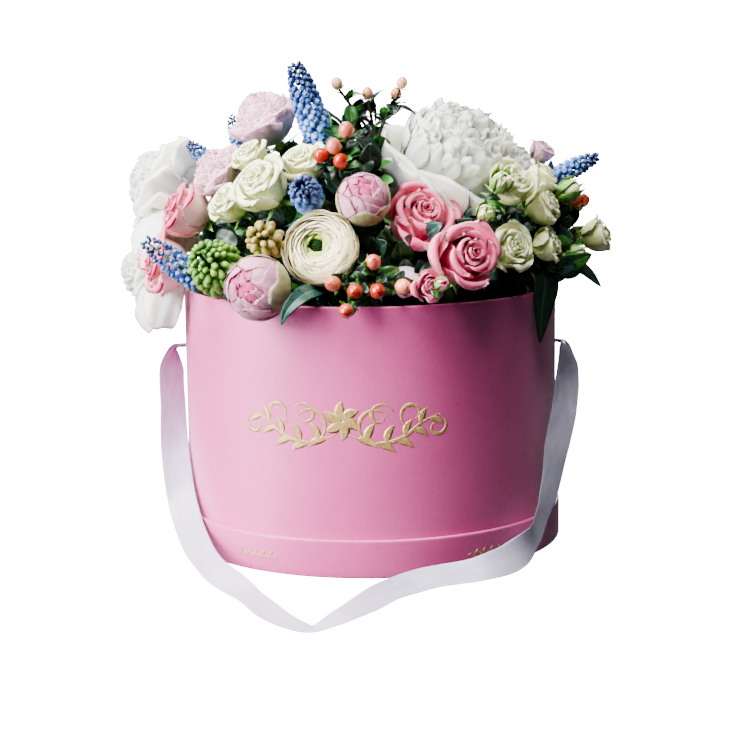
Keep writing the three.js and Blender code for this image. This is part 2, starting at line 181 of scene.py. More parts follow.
class Growth:
    """Collects petals, stems and buds into one mesh. Each point keeps its place on its piece:
    across (0 middle to 1 edge), along (0 foot to 1 tip) and layer (0 heart to 1 outside), which
    side of a petal it is on (0 inner, 1 outer), and one chance number for the whole piece."""

    def __init__(self, rng):
        self.rng = rng
        self.points, self.loops, self.sizes = [], [], []
        self.places, self.sides, self.chances, self.finishes = [], [], [], []
        self.materials = []
        self.count = 0
        self.stand(*UPRIGHT)

    def stand(self, place, axis, size, roll=0.0):
        """What is added from here on is made about the origin, +Z outwards, then put there."""
        self.place, self.frame, self.size = np.array(place), turn_to(axis, roll), size

    def add(self, points, loops, sizes, finish, places, side=0.5):
        if finish not in self.materials:
            self.materials.append(finish)
        count = len(points)
        self.points.append((points * self.size) @ self.frame.T + self.place)
        self.loops.append(loops + self.count)
        self.sizes.append(sizes)
        self.places.append(places)
        self.sides.append(np.broadcast_to(side, count))
        self.chances.append(np.full(count, self.rng.random()))
        self.finishes.append(np.full(len(sizes), self.materials.index(finish)))
        self.count += count

    def sheet(self, grid, finish, thickness, layer=0.5):
        """A grid of points, foot row first, as a closed petal or leaf with thin edges."""
        rows, columns = grid.shape[:2]
        quads, inside = sheet_topology(rows, columns)
        normal = units(np.cross(np.gradient(grid, axis=1), np.gradient(grid, axis=0)))
        along, across = np.meshgrid(np.linspace(0, 1, rows), np.abs(np.linspace(-1, 1, columns)),
            indexing="ij")
        belly = (1 - across ** 4) * (1 - along ** 6)
        belly[[0, -1]] = 0
        offset = normal * (belly * thickness / 2)[..., None]
        upper = (grid + offset).reshape(-1, 3)
        lower = (grid - offset).reshape(-1, 3)[inside]
        place = np.stack([across, along, np.full_like(along, layer)], -1).reshape(-1, 3)
        outer = np.full(len(upper), 0.5)
        outer[inside] = 1
        self.add(np.vstack([upper, lower]), quads.ravel(), np.full(len(quads), 4), finish,
            np.vstack([place, place[inside]]), np.append(outer, np.zeros(len(lower))))

    def rings(self, grid, finish, layer=0.5):
        """A tube of rings of points, closed at its ends."""
        rings, sides = grid.shape[:2]
        points = np.vstack([grid.reshape(-1, 3), grid[0].mean(0), grid[-1].mean(0)])
        along = np.append(np.repeat(np.linspace(0, 1, rings), sides), [0, 1])
        turn = np.append(np.tile(np.linspace(0, 1, sides, endpoint=False), rings), [0, 0])
        places = np.stack([turn, along, np.full(len(along), layer)], -1)
        self.add(points, *ring_topology(rings, sides), finish, places)

    def turned(self, profile, finish, sides=8, layer=0.5, lobes=0, lobe_depth=0.0):
        """A profile of (radius, height) turned about +Z, with lobes round it."""
        angle = np.linspace(0, 2 * pi, sides, endpoint=False)
        radius, height = np.array(profile, float).T[..., None]
        radius = radius * (1 + lobe_depth * np.cos(lobes * angle))
        grid = [radius * np.cos(angle), radius * np.sin(angle), height + 0 * angle]
        self.rings(np.stack(grid, -1), finish, layer)

    def tube(self, points, radii, finish, sides=6):
        """A round stem along points."""
        points = np.array(points, float)
        ahead = units(np.gradient(points, axis=0))
        first = unit(np.cross(ahead[0], UP if abs(ahead[0] @ UP) < 0.9 else [1.0, 0, 0]))
        angle = np.linspace(0, 2 * pi, sides, endpoint=False)
        radii = np.broadcast_to(radii, len(points))
        rows = []
        for point, forward, radius in zip(points, ahead, radii):
            first = unit(first - forward * (first @ forward))
            second = np.cross(forward, first)
            ring = np.outer(np.cos(angle), first) + np.outer(np.sin(angle), second)
            rows.append(point + ring * radius)
        self.rings(np.array(rows), finish)

    def piece(self, name):
        """The mesh as an object, smooth shaded, with its attributes."""
        mesh = bpy.data.meshes.new(name)
        sizes = np.concatenate(self.sizes)
        starts = np.append(0, np.cumsum(sizes)[:-1])
        parts = (
            (mesh.vertices, self.count, "co", np.concatenate(self.points)),
            (mesh.loops, sizes.sum(), "vertex_index", np.concatenate(self.loops)),
            (mesh.polygons, len(sizes), "loop_start", starts),
            (mesh.polygons, 0, "material_index", np.concatenate(self.finishes)),
        )
        for part, count, field, values in parts:
            part.add(int(count))
            kind = np.float32 if field == "co" else np.int32
            part.foreach_set(field, values.astype(kind).ravel())
        mesh.update(calc_edges=True)
        mesh.shade_smooth()
        for label, values in (("place", self.places), ("side", self.sides), ("chance", self.chances)):
            kind, field = ("FLOAT_VECTOR", "vector") if label == "place" else ("FLOAT", "value")
            attribute = mesh.attributes.new(label, kind, "POINT")
            attribute.data.foreach_set(field, np.concatenate(values).astype(np.float32).ravel())
        for finish in self.materials:
            mesh.materials.append(finish)
        return placed(name, mesh)


# ---- Materials ----

def colour(code):
    """A #rrggbb colour as linear light, with alpha."""
    parts = [int(code[k:k + 2], 16) / 255 for k in (1, 3, 5)]
    linear = [c / 12.92 if c <= 0.04045 else ((c + 0.055) / 1.055) ** 2.4 for c in parts]
    return (*linear, 1.0)


class Finish:
    """A material with a Principled shader, and short ways to add nodes to it."""

    def __init__(self, name, **values):
        self.material = bpy.data.materials.new(name)
        self.material.use_nodes = True
        self.tree = self.material.node_tree
        self.shader = self.tree.nodes["Principled BSDF"]
        for label, value in values.items():
            self.feed(self.shader.inputs[label.replace("_", " ")], value)

    def feed(self, socket, value):
        """value is a socket, a #rrggbb code or a plain value."""
        if isinstance(value, bpy.types.NodeSocket):
            self.tree.links.new(value, socket)
        else:
            socket.default_value = colour(value) if isinstance(value, str) else value

    def node(self, kind, values, **settings):
        """The outputs of a new node."""
        made = self.tree.nodes.new(kind)
        for label, value in settings.items():
            setattr(made, label, value)
        for key, value in values.items():
            self.feed(made.inputs[key], value)
        return made.outputs

    def traits(self):
        """What a growth keeps at each point: across, along, layer, place, chance and side."""
        place, chance, side = (self.node("ShaderNodeAttribute", {}, attribute_name=label)
            for label in ("place", "chance", "side"))
        split = self.node("ShaderNodeSeparateXYZ", {0: place["Vector"]})
        return *split, place["Vector"], chance["Fac"], side["Fac"]

    def maths(self, operation, a, b=0.0):
        return self.node("ShaderNodeMath", {0: a, 1: b}, operation=operation)[0]

    def times(self, a, b):
        return self.maths("MULTIPLY", a, b)

    def plus(self, a, b):
        return self.maths("ADD", a, b)

    def scaled(self, value, low, high, out_low=0.0, out_high=1.0, kind="SMOOTHSTEP"):
        return self.node("ShaderNodeMapRange",
            {"Value": value, "From Min": low, "From Max": high, "To Min": out_low, "To Max": out_high},
            interpolation_type=kind)[0]

    def mix(self, share, a, b, kind="MIX"):
        return self.node("ShaderNodeMix", {0: share, 6: a, 7: b}, data_type="RGBA", blend_type=kind)[2]

    def tint(self, base, code, by, low, high, most=1.0, kind="MIX"):
        """base takes on a colour as the socket by runs from low to high."""
        return self.mix(self.scaled(by, low, high, 0.0, most), base, code, kind)

    def noise(self, scale, detail=3.0, roughness=0.5, at=None):
        """Noise at a vector, or else at the object's own coordinates."""
        at = at or self.node("ShaderNodeTexCoord", {})["Object"]
        return self.node("ShaderNodeTexNoise",
            {"Vector": at, "Scale": scale, "Detail": detail, "Roughness": roughness})[0]

    def vector(self, operation, a, b):
        return self.node("ShaderNodeVectorMath", {0: a, 1: b}, operation=operation)[0]

    def ready(self, base, texture, rough, height, strength, depth):
        """The material: its roughness follows a texture, and its bump is depth mm deep."""
        bump = self.node("ShaderNodeBump",
            {"Height": height, "Strength": strength, "Distance": depth * MM})[0]
        self.feed(self.shader.inputs["Base Color"], base)
        self.feed(self.shader.inputs["Roughness"], self.scaled(texture, *rough))
        self.feed(self.shader.inputs["Normal"], bump)
        return self.material


def petal_finish(name, foot, body, tip, heart, edge, edge_share=0.0, outside=None, bruise=None,
        softness=0.22, streaks=0.16):
    """A soft petal. Its colour runs foot, body, tip; the heart's petals take the heart's colour,
    the rim of each takes the edge's, and the outer side may differ. Fine veins run along it."""
    f = Finish(name, Subsurface_Weight=softness, Subsurface_Scale=6 * MM, Sheen_Weight=0.12,
        Subsurface_Radius=(1.0, 0.75, 0.65), Specular_IOR_Level=0.3)
    across, along, layer, place, chance, side = f.traits()
    base = f.tint(foot, body, along, 0.12, 0.55)
    base = f.tint(base, tip, along, 0.5, 1.0)
    if outside:
        base = f.tint(base, outside, side, 0.55, 0.9)
    base = f.tint(base, heart, layer, 0.45, 0.0)
    rim = f.maths("MAXIMUM", f.maths("POWER", across, 5.0), f.maths("POWER", along, 9.0))
    ragged = f.noise(3.0, at=f.vector("MULTIPLY", place, (9.0, 5.0, 3.0)))
    rim = f.times(rim, f.scaled(ragged, 0.25, 0.6, 0.35, 1.0))
    base = f.tint(base, edge, rim, 0.75 - edge_share, 1.0)
    shift = f.vector("MULTIPLY", place, (0.0, 0.0, 40.0))
    stretched = f.vector("ADD", f.vector("MULTIPLY", place, (26.0, 1.6, 9.0)), shift)
    veins = f.noise(1.6, 4.0, 0.6, stretched)
    base = f.tint(base, heart, veins, 0.42, 0.75, streaks, "MULTIPLY")
    if bruise:
        base = f.tint(base, bruise, f.noise(90.0, 2.0), 0.62, 0.8, 0.6)
    shade = f.scaled(chance, 0.0, 1.0, 0.0, 0.12, "LINEAR")
    base = f.mix(shade, base, "#d9cdcf", "MULTIPLY")
    return f.ready(base, veins, (0.3, 0.8, 0.45, 0.62), veins, 0.35, 0.35)


def leaf_finish(name, dark, light, vein, roughness=0.38):
    """A leaf with a paler midrib and side veins, and a waxy gloss."""
    f = Finish(name, Subsurface_Weight=0.05, Subsurface_Scale=1 * MM, Coat_Weight=0.15,
        Coat_Roughness=0.35)
    across, along, _, place, chance, _ = f.traits()
    patches = f.noise(120.0, 4.0)
    base = f.tint(dark, light, patches, 0.3, 0.7)
    base = f.tint(base, light, chance, 0.3, 1.0, 0.6)
    slant = f.maths("SUBTRACT", f.times(along, 9.0), f.times(across, 2.6))
    stripe = f.maths("ABSOLUTE", f.maths("SUBTRACT", f.maths("FRACT", slant), 0.5))
    side_veins = f.scaled(stripe, 0.09, 0.0)
    midrib = f.scaled(across, 0.14, 0.02)
    ribs = f.maths("MAXIMUM", f.times(side_veins, 0.45), midrib)
    base = f.mix(f.times(ribs, 0.55), base, vein)
    grain = f.noise(2.0, at=f.vector("MULTIPLY", place, (30.0, 30.0, 1.0)))
    height = f.maths("SUBTRACT", f.times(grain, 0.3), f.times(ribs, 0.6))
    rough = (0.3, 0.8, roughness - 0.06, roughness + 0.12)
    return f.ready(base, patches, rough, height, 0.4, 0.4)


def bell_finish(name, pale, body, dark, rim):
    """Small waxy bells: paler low on the spike, darker to its tip, with a pale rim each."""
    f = Finish(name, Subsurface_Weight=0.15, Subsurface_Scale=1 * MM, Coat_Weight=0.1, Coat_Roughness=0.4)
    _, along, layer, _, chance, _ = f.traits()
    base = f.tint(body, pale, chance, 0.15, 0.95)
    base = f.tint(base, dark, layer, 0.35, 1.0)
    base = f.tint(base, dark, along, 0.25, 0.0, 0.7)
    base = f.tint(base, rim, along, 0.72, 0.86, 0.3)
    bloom = f.noise(700.0)
    base = f.tint(base, pale, bloom, 0.45, 0.75, 0.35)
    return f.ready(base, bloom, (0.3, 0.7, 0.32, 0.5), bloom, 0.2, 0.3)


def bud_finish(name, body, pale, dark, tip):
    """Plump hyacinth buds: dark at the foot, pale ribs, tinted tip."""
    f = Finish(name, Subsurface_Weight=0.15, Subsurface_Scale=1.5 * MM)
    _, along, _, place, chance, _ = f.traits()
    base = f.tint(body, pale, chance, 0.1, 0.9)
    base = f.tint(base, dark, along, 0.35, 0.0)
    base = f.tint(base, tip, along, 0.6, 0.95, 0.8)
    grain = f.noise(1.5, at=f.vector("MULTIPLY", place, (30.0, 3.0, 1.0)))
    base = f.tint(base, dark, grain, 0.45, 0.7, 0.3)
    return f.ready(base, grain, (0.3, 0.7, 0.36, 0.52), grain, 0.3, 0.4)


def berry_finish(name, red, pale, scar):
    """A glossy hypericum berry, redder towards its tip and redder on some berries than on others, with a
    dark tip scar.
    """
    f = Finish(name, Subsurface_Weight=0.12, Subsurface_Scale=2 * MM, Coat_Weight=0.35,
        Coat_Roughness=0.12)
    _, along, _, _, chance, _ = f.traits()
    flush = f.plus(f.times(chance, 0.8), f.times(along, 0.35))
    mottle = f.noise(260.0)
    flush = f.plus(flush, f.times(mottle, 0.4))
    base = f.tint(pale, red, flush, 0.45, 1.0)
    base = f.tint(base, scar, along, 0.95, 0.985)
    return f.ready(base, mottle, (0.3, 0.7, 0.18, 0.3), mottle, 0.08, 0.3)


def stem_finish(name, green, brown):
    """A stem with fine lengthwise streaks."""
    f = Finish(name)
    place = f.node("ShaderNodeTexCoord", {})["Object"]
    grain = f.noise(1.0, at=f.vector("MULTIPLY", place, (900.0, 900.0, 120.0)))
    base = f.tint(green, brown, grain, 0.35, 0.65)
    return f.ready(base, grain, (0.3, 0.7, 0.4, 0.6), grain, 0.3, 0.3)


def paper_finish(name, body, pale, deep):
    """Smooth coated covering paper with a faint mottle, fine fibre grain and a few specks."""
    f = Finish(name, Specular_IOR_Level=0.5, Sheen_Weight=0.4, Sheen_Roughness=0.4, Coat_Weight=0.5,
        Coat_Roughness=0.45)
    place = f.node("ShaderNodeTexCoord", {})["Object"]
    cloud = f.noise(14.0)
    base = f.tint(body, pale, cloud, 0.3, 0.7, 0.35)
    fibre = f.noise(900.0, 4.0, 0.65, f.vector("MULTIPLY", place, (1.0, 1.0, 0.35)))
    base = f.tint(base, deep, fibre, 0.4, 0.75, 0.2)
    base = f.tint(base, deep, f.noise(260.0, 0.0), 0.86, 0.9, 0.5)
    height = f.plus(f.times(fibre, 0.6), f.times(cloud, 0.4))
    return f.ready(base, fibre, (0.3, 0.75, 0.4, 0.54), height, 0.12, 0.25)


def satin_finish(name):
    """Satin ribbon: fine lengthwise warp threads, a sheen, and a tight woven edge."""
    f = Finish(name, Sheen_Weight=0.3, Sheen_Roughness=0.35, Anisotropic=0.45, Specular_IOR_Level=0.55)
    across, along, _, place, _, _ = f.traits()
    threads = f.maths("SINE", f.times(across, 420.0))
    weft = f.maths("SINE", f.times(along, 9000.0))
    cloud = f.noise(1.0, at=f.vector("MULTIPLY", place, (3.0, 60.0, 1.0)))
    edge = f.scaled(across, 0.93, 0.97)
    base = f.tint("#b8b3ca", "#c5c1d5", cloud, 0.3, 0.7)
    base = f.tint(base, "#a9a3bf", threads, -1.0, 1.0, 0.12)
    base = f.mix(f.times(edge, 0.35), base, "#b9b4cb")
    weave = f.plus(f.times(threads, 0.5), f.times(weft, 0.25))
    weave = f.plus(weave, f.times(edge, 1.5))
    return f.ready(base, cloud, (0.3, 0.7, 0.3, 0.4), weave, 0.12, 0.1)


def foam_finish(name):
    """Wet floral foam: fine crumbly cells."""
    f = Finish(name)
    place = f.node("ShaderNodeTexCoord", {})["Object"]
    cells = f.node("ShaderNodeTexVoronoi", {"Vector": place, "Scale": 900.0})[0]
    patch = f.noise(60.0, 4.0)
    base = f.tint("#16361f", "#28552f", patch, 0.3, 0.7)
    base = f.tint(base, "#0f2415", cells, 0.5, 0.1)
    return f.ready(base, patch, (0.3, 0.7, 0.88, 1.0), cells, 0.8, 0.8)


def plain_finish(name, dark, light, coarse, fine, rough, bump, fleck=None, **values):
    """A coarse noise mottles two colours, and a fine one stands out as grain and flecks."""
    f = Finish(name, **values)
    mottle, grain = f.noise(*coarse), f.noise(*fine)
    base = f.tint(dark, light, mottle, 0.3, 0.7)
    if fleck:
        base = f.tint(base, fleck, grain, 0.62, 0.75)
    return f.ready(base, mottle, (0.3, 0.7, *rough), grain, *bump)


PAPER = paper_finish("box_paper", "#c95690", "#d46a9e", "#a83d73")
LINING = paper_finish("lining_paper", "#efe5e8", "#f7f0f2", "#ddd0d4")
BOARD = plain_finish("grey_board", "#8d877c", "#aaa598", (160.0, 5.0, 0.7), (900.0, 2.0), (0.82, 0.95),
    (0.4, 0.3), "#5c5850")
SATIN = satin_finish("satin_ribbon")
FOIL = plain_finish("gold_foil", "#b09058", "#d2b47c", (420.0, 4.0, 0.6), (420.0, 4.0, 0.6), (0.3, 0.48),
    (0.25, 0.1), Metallic=0.35, Specular_IOR_Level=0.6)
PLASTIC = plain_finish("pot_plastic", "#25292a", "#343a3a", (25.0,), (1200.0, 2.0), (0.36, 0.5),
    (0.25, 0.15))
FOAM = foam_finish("wet_foam")
STEM = stem_finish("stem_green", "#3f6a38", "#2c4c2a")
TWIG = stem_finish("twig_dark", "#2d4a2a", "#40352a")
LEAF_DARK = leaf_finish("leaf_dark", "#09170f", "#15311f", "#3c6a4e")
LEAF_BLUE = leaf_finish("leaf_teal", "#0c2722", "#1a473f", "#4f8777", 0.3)
LEAF_FRESH = leaf_finish("leaf_fresh", "#1d4a1f", "#3a7c30", "#7db35a")
SEPAL = leaf_finish("sepal_green", "#4b7a3a", "#7ba652", "#a9c77e", 0.45)
SEPAL_BLUSH = leaf_finish("sepal_blush", "#5f7a45", "#95a069", "#b98a72", 0.45)
WHITE = petal_finish("petal_white", "#e6ebc0", "#f8f8ea", "#fcfcf2", "#f2f4da", "#fffff8", 0.05,
    softness=0.7, streaks=0.08)
CREAM = petal_finish("petal_cream", "#aec664", "#ecf2ac", "#f7f9cc", "#d0e084", "#fbfcdc", 0.1)
PINK = petal_finish("petal_pink", "#dc2455", "#f2487a", "#fa7ba2", "#d61c48", "#ffb6cb", 0.16,
    outside="#fa92b2")
BLUSH_EDGED = petal_finish("petal_blush_edged", "#f2dfae", "#f6c2c0", "#ea5c92", "#d8245e", "#d4145c",
    0.5, outside="#f6cac8")
BLUSH = petal_finish("petal_blush", "#e6e6c8", "#f9dfec", "#f8cadf", "#eaaccb", "#dd5f98", 0.2,
    bruise="#d9588f", softness=0.45, streaks=0.3)
BUD_PINK = petal_finish("petal_bud", "#a9b074", "#d8a4be", "#d47fa6", "#bd4c7e", "#981848", 0.34,
    outside="#d6a5bb", bruise="#9c3064", streaks=0.7)
GUARD = petal_finish("petal_guard", "#6c7a3c", "#b0b07a", "#bd9088", "#8f965a", "#861838", 0.26,
    outside="#aeae7c", bruise="#8a4a42", streaks=0.6)
BUTTER = petal_finish("petal_butter", "#d6dc84", "#f5f0be", "#f6eec8", "#a6cc46", "#b98058", 0.10,
    bruise="#e0b48c")
BLUE = bell_finish("bell_blue", "#7396cf", "#33589c", "#0c1c4c", "#98b2e0")
GREEN_BUD = bud_finish("hyacinth_green", "#42722a", "#6c9c3f", "#1c4015", "#90b85e")
TAN_BUD = bud_finish("hyacinth_tan", "#7d7838", "#aaa05a", "#3e4a1e", "#c79676")
BERRY = berry_finish("berry_coral", "#a8301e", "#de9076", "#2c1410")
BERRY_PALE = berry_finish("berry_pale", "#cf6a4c", "#f1d2b2", "#4a2218")


# ---- Places measured on the CAD nodes ----

def corners(node):
    """The different points of a CAD node's mesh."""
    mesh = frame["nodes"][node].data
    points = np.empty(len(mesh.vertices) * 3)
    mesh.vertices.foreach_get("co", points)
    return np.unique(points.reshape(-1, 3).round(6), axis=0)


def distance_from(points, origin, axis):
    """How far points lie along a line, and away from it."""
    along = (points - origin) @ axis
    return along, norm(points - origin - np.outer(along, axis), axis=1)


def head_of(node):
    """(place, axis, radius, stem foot) of a single flower, all on one line from the binding."""
    points = corners(node)
    axis = unit(points.mean(0) - BINDING)
    along, away = distance_from(points, BINDING, axis)
    radius = away.max()
    place = BINDING + axis * along[away > 0.999 * radius].mean()
    return place, axis, radius, BINDING + axis * along.min()


def stem_foot(node):
    """Where a node's stem ends, deep in the foam."""
    points = corners(node)
    reach = norm(points - BINDING, axis=1)
    return points[reach < reach.min() + 1 * MM].mean(0)


def spike_of(node):
    """(foot, tip, radius) of a flower spike above its stem."""
    points = corners(node)
    reach = norm(points - BINDING, axis=1)
    order = np.sort(reach)
    jump = np.diff(order).argmax()
    body = points[reach > (order[jump] + order[jump + 1]) / 2]
    tip = points[reach.argmax()]
    axis = unit(tip - body.mean(0))
    along, away = distance_from(body, tip, axis)
    return tip + axis * along.min(), tip, away.max()


# ---- Petals and flower heads, made with radius 1 about the origin, face towards +Z ----

def wrapped_petal(growth, finish, profile, turn, spread, layer, spiral=0.05, tip=0.25, tip_power=2.5,
        foot=0.35, roll=0.0, ruffle=0.0, waves=2.0, thickness=0.02, lean=0.0, rows=11, columns=11):
    """A petal that wraps round the flower's axis. profile is its middle line as (radius, height)
    from foot to tip, turn its bearing, spread the angle to each edge."""
    rng = growth.rng
    across = np.linspace(-1, 1, columns)[None, :]
    up = np.linspace(0, 1, rows)[:, None]
    notch = 1 + 0.6 * ruffle * np.sin(across * waves * 5.3 + rng.uniform(0, 6))
    share = np.clip(up * (1 - tip * np.abs(across) ** tip_power) * notch, 0, 1)
    line = by_length(profile, 40)
    middle = line(share)
    ahead = units(line(np.clip(share + 0.02, 0, 1)) - line(np.clip(share - 0.02, 0, 1)))
    width = blend(foot, 1.0, smoothstep(up, 0.0, 0.6))
    angle = turn + spread * across * width + lean * share
    phases = rng.uniform(0, 2 * pi, 3)
    wave = (np.sin(across * waves * pi + phases[0]) + 0.5 * np.sin(across * waves * 2.3 * pi + phases[1])
        + 0.4 * np.sin(up * 7 + across * 2 + phases[2]))
    wave = wave * ruffle * share ** 2.5
    curl = roll * np.abs(across) ** 2.5 * smoothstep(share, 0.45, 1.0)
    radius = middle[..., 0] * (1 + spiral * across) + wave * ahead[..., 1] + curl
    height = middle[..., 1] - wave * ahead[..., 0] - 0.7 * curl
    growth.sheet(around(radius, angle, height), finish, thickness, layer)


def rose(growth, finish, petals=18, ruffle=0.012):
    """A rose with a tight spiral heart and wide outer petals whose lips roll outwards."""
    rng = growth.rng
    for index in range(petals):
        t = index / (petals - 1)
        top = 0.05 + 0.26 * t + 0.58 * t ** 2.2
        belly = top * blend(1.2, 0.88, t) + 0.05
        rise = 0.62 - 0.34 * t ** 2.0 + rng.uniform(-0.03, 0.03)
        lip = 0.02 + 0.19 * t ** 1.2
        profile = [(0.05, -0.78), (0.08 + 0.35 * belly, -0.70), (0.06 + 0.80 * belly, -0.36),
            (belly, 0.0), (blend(belly, top, 0.6), rise * 0.6), (top, rise),
            (top + 0.6 * lip, rise - 0.05 * lip), (top + 1.1 * lip, rise - 0.75 * lip)]
        wrapped_petal(growth, finish, profile, index * GOLDEN_TURN + rng.uniform(-0.2, 0.2),
            radians(blend(140, 58, t ** 0.6)), t, spiral=blend(0.20, 0.06, t ** 0.5),
            tip=blend(0.12, 0.38, t), tip_power=blend(3.0, 1.8, t), roll=0.15 * t ** 1.3,
            ruffle=ruffle * (0.3 + t), waves=1.3, thickness=0.016, rows=17, columns=19)


def sepals(growth, finish, count=5, reach=0.75, start=-0.8, droop=0.3, width=26.0):
    """Pointed green sepals under a head."""
    for index in range(count):
        turn = (index + growth.rng.uniform(-0.2, 0.2)) * 2 * pi / count
        end = -0.55 - droop + growth.rng.uniform(-0.1, 0.1)
        profile = [(0.05, start), (0.35 * reach, start - 0.04), (0.8 * reach, blend(start, end, 0.5)),
            (1.15 * reach, end)]
        wrapped_petal(growth, finish, profile, turn, radians(width), 0.9, spiral=0.0, tip=0.95,
            tip_power=0.9, foot=0.9, ruffle=0.01, thickness=0.035, rows=8, columns=5)


def hip(growth):
    """The green cup between a head and its stem."""
    growth.turned([(0.08, -1.06), (0.15, -1.0), (0.2, -0.88), (0.17, -0.75), (0.05, -0.68)], SEPAL)


def ball_arc(size, low, high, flatten=1.0, steps=7):
    """A profile that follows a ball from a low angle up to a high one, in radians from +Z."""
    angles = np.linspace(low, high, steps)
    return [(size * sin(a) + 0.01, size * cos(a) * flatten) for a in angles]


def arched(size, low, high, flatten=1.0, steps=7):
    """The same, with its angles in degrees."""
    return ball_arc(size, radians(low), radians(high), flatten, steps)


def folded_petal(growth, finish, out, roll, reach, length, width, layer, ruffle, waves, flare):
    """A petal of a double flower. It stands on the dome at the unit vector out, leans up towards
    the middle and may flare at its tip."""
    rng = growth.rng
    towards = unit(np.array([0.0, 0.0, 1.0]) - out * out[2] + np.array([0.02, 0.01, 0.0]))
    beside = np.cross(out, towards)
    towards, beside = (towards * cos(roll) + beside * sin(roll), beside * cos(roll) - towards * sin(roll))
    up = np.linspace(0, 1, 13)[:, None]
    across = np.linspace(-1, 1, 19)[None, :]
    phases = rng.uniform(0, 2 * pi, 3)
    frill = 1 + ruffle * 1.2 * np.sin(across * waves * 2.2 * pi + phases[0])
    share = np.clip(up * (1 - 0.22 * np.abs(across) ** 3) * frill * 0.96, 0, 1)
    half = width * blend(0.35, 1.0, smoothstep(share, 0.0, 0.75)) * across
    rise = (-0.42 * (1 - share) ** 1.6 - 0.05 * share ** 3 + flare * share ** 6
        - 0.30 * width * across ** 2 * share)
    wave = (np.sin(across * waves * pi + phases[1])
        + 0.5 * np.sin(across * waves * 2.3 * pi + phases[2])) * ruffle * share ** 2
    along = (share - 0.62) * length
    grid = (out * (reach + rise + wave)[..., None] + towards * along[..., None]
        + beside * (half * (1 - 0.12 * share ** 2))[..., None])
    growth.sheet(grid, finish, PEONY_PETAL_THICKNESS, layer)


PEONY_RUFFLE = 0.03
PEONY_FLATTEN = 0.92
BUD_SHELLS = 15
RANUNCULUS_PETALS = 64
RANUNCULUS_FLATTEN = 0.78
EYE_BEADS = 26


def full_peony(growth, finish, petals=130, guards=10, guard_drop=0.25, width=0.28, length=0.76,
        lowest=82):
    """A double peony: wide guard petals under a dome of ruffled petals that fold inwards."""
    rng = growth.rng
    for index in range(guards):
        layer = 1.0 - 0.1 * (index % 2)
        tilt = rng.uniform(-0.14, 0.10) - guard_drop
        profile = [(0.06, -0.72), (0.38, -0.62), (0.74, -0.34), (0.96, 0.02 + tilt), (1.06, 0.2 + tilt),
            (1.12, 0.36 + tilt)]
        wrapped_petal(growth, finish, profile, index * GOLDEN_TURN, radians(46), layer, spiral=0.03,
            tip=0.18, ruffle=PEONY_RUFFLE, waves=1.7, roll=0.05, rows=17, columns=21)
    growth.turned(arched(0.66, 165, 2, PEONY_FLATTEN), finish, 16, layer=0.2)
    for index in range(petals):
        t = (index + 0.5) / petals
        angle = radians(lowest) * sqrt(t)
        turn = index * GOLDEN_TURN + rng.uniform(-0.2, 0.2)
        out = unit(around(sin(angle), turn, cos(angle) * PEONY_FLATTEN))
        folded_petal(growth, finish, out, rng.uniform(-0.4, 0.4), rng.uniform(0.86, 0.95),
            length * rng.uniform(0.8, 1.2), width * rng.uniform(0.8, 1.35), t,
            PEONY_RUFFLE * rng.uniform(0.5, 1.4), rng.uniform(1.2, 2.6), rng.uniform(-0.04, 0.07))


def ball_bud(growth, finish, guard_finish):
    """A closed bud: overlapping shells that hug a ball, and cream guard petals round its foot."""
    rng = growth.rng
    growth.turned(arched(0.84, 170, 1, steps=14), finish, 20, layer=0.1)
    for index in range(BUD_SHELLS):
        t = index / (BUD_SHELLS - 1)
        end = blend(6, 46, t) + rng.uniform(-7, 7)
        wrapped_petal(growth, finish, arched(0.86 + 0.09 * t, 168, end), index * GOLDEN_TURN,
            radians(blend(80, 44, t) * rng.uniform(0.8, 1.15)), t, spiral=0.02, tip=0.30, tip_power=2.2,
            foot=0.75, ruffle=0.016, waves=1.9, lean=rng.uniform(-0.3, 0.3), thickness=0.010, rows=19,
            columns=21)
    for index in range(6):
        wrapped_petal(growth, guard_finish, arched(0.98, 170, rng.uniform(46, 90)),
            index * pi / 3 + rng.uniform(-0.4, 0.4), radians(42), 0.9, spiral=0.015, tip=0.34,
            tip_power=2.0, foot=0.8, ruffle=0.016, waves=1.7, thickness=0.014, rows=15, columns=17)


def layered_ball(growth, finish, heart):
    """A ranunculus: many thin petals in tight rings round a green eye."""
    rng = growth.rng
    for index in range(RANUNCULUS_PETALS):
        t = index / (RANUNCULUS_PETALS - 1)
        end = radians(blend(15, 76, t ** 0.85) + rng.uniform(-2.5, 2.5))
        profile = ball_arc(0.52 + 0.46 * t ** 0.8, radians(165), end, RANUNCULUS_FLATTEN)
        open_lip = 0.05 * smoothstep(t, 0.55, 1.0)
        profile[-1] = (profile[-1][0] + open_lip, profile[-1][1])
        wrapped_petal(growth, finish, profile, index * GOLDEN_TURN + rng.uniform(-0.3, 0.3),
            radians(blend(95, 44, t ** 0.5)), t ** 0.8, spiral=0.03, tip=0.2, foot=0.7,
            ruffle=blend(0.006, 0.022, t), waves=1.6, thickness=0.012, rows=13, columns=15)
    for index in range(EYE_BEADS):
        t = (index + 0.5) / EYE_BEADS
        place = around(0.15 * sqrt(t), index * GOLDEN_TURN, 0.36 - 0.1 * t)
        growth.turned([(0.01, place[2] - 0.05), (0.028, place[2]), (0.018, place[2] + 0.05),
            (0.004, place[2] + 0.07)], heart, 5, layer=0.0)
        growth.points[-1] += (growth.frame @ (place * [1, 1, 0])) * growth.size


# ---- Spikes of bells or buds ----

BELL = [(0.03, 0.0), (0.2, 0.05), (0.36, 0.22), (0.42, 0.45), (0.38, 0.68), (0.26, 0.86),
        (0.27, 0.95), (0.2, 1.0), (0.1, 0.9)]
PLUMP_BUD = [(0.05, 0.0), (0.24, 0.08), (0.36, 0.32), (0.37, 0.58), (0.26, 0.84), (0.08, 0.99)]


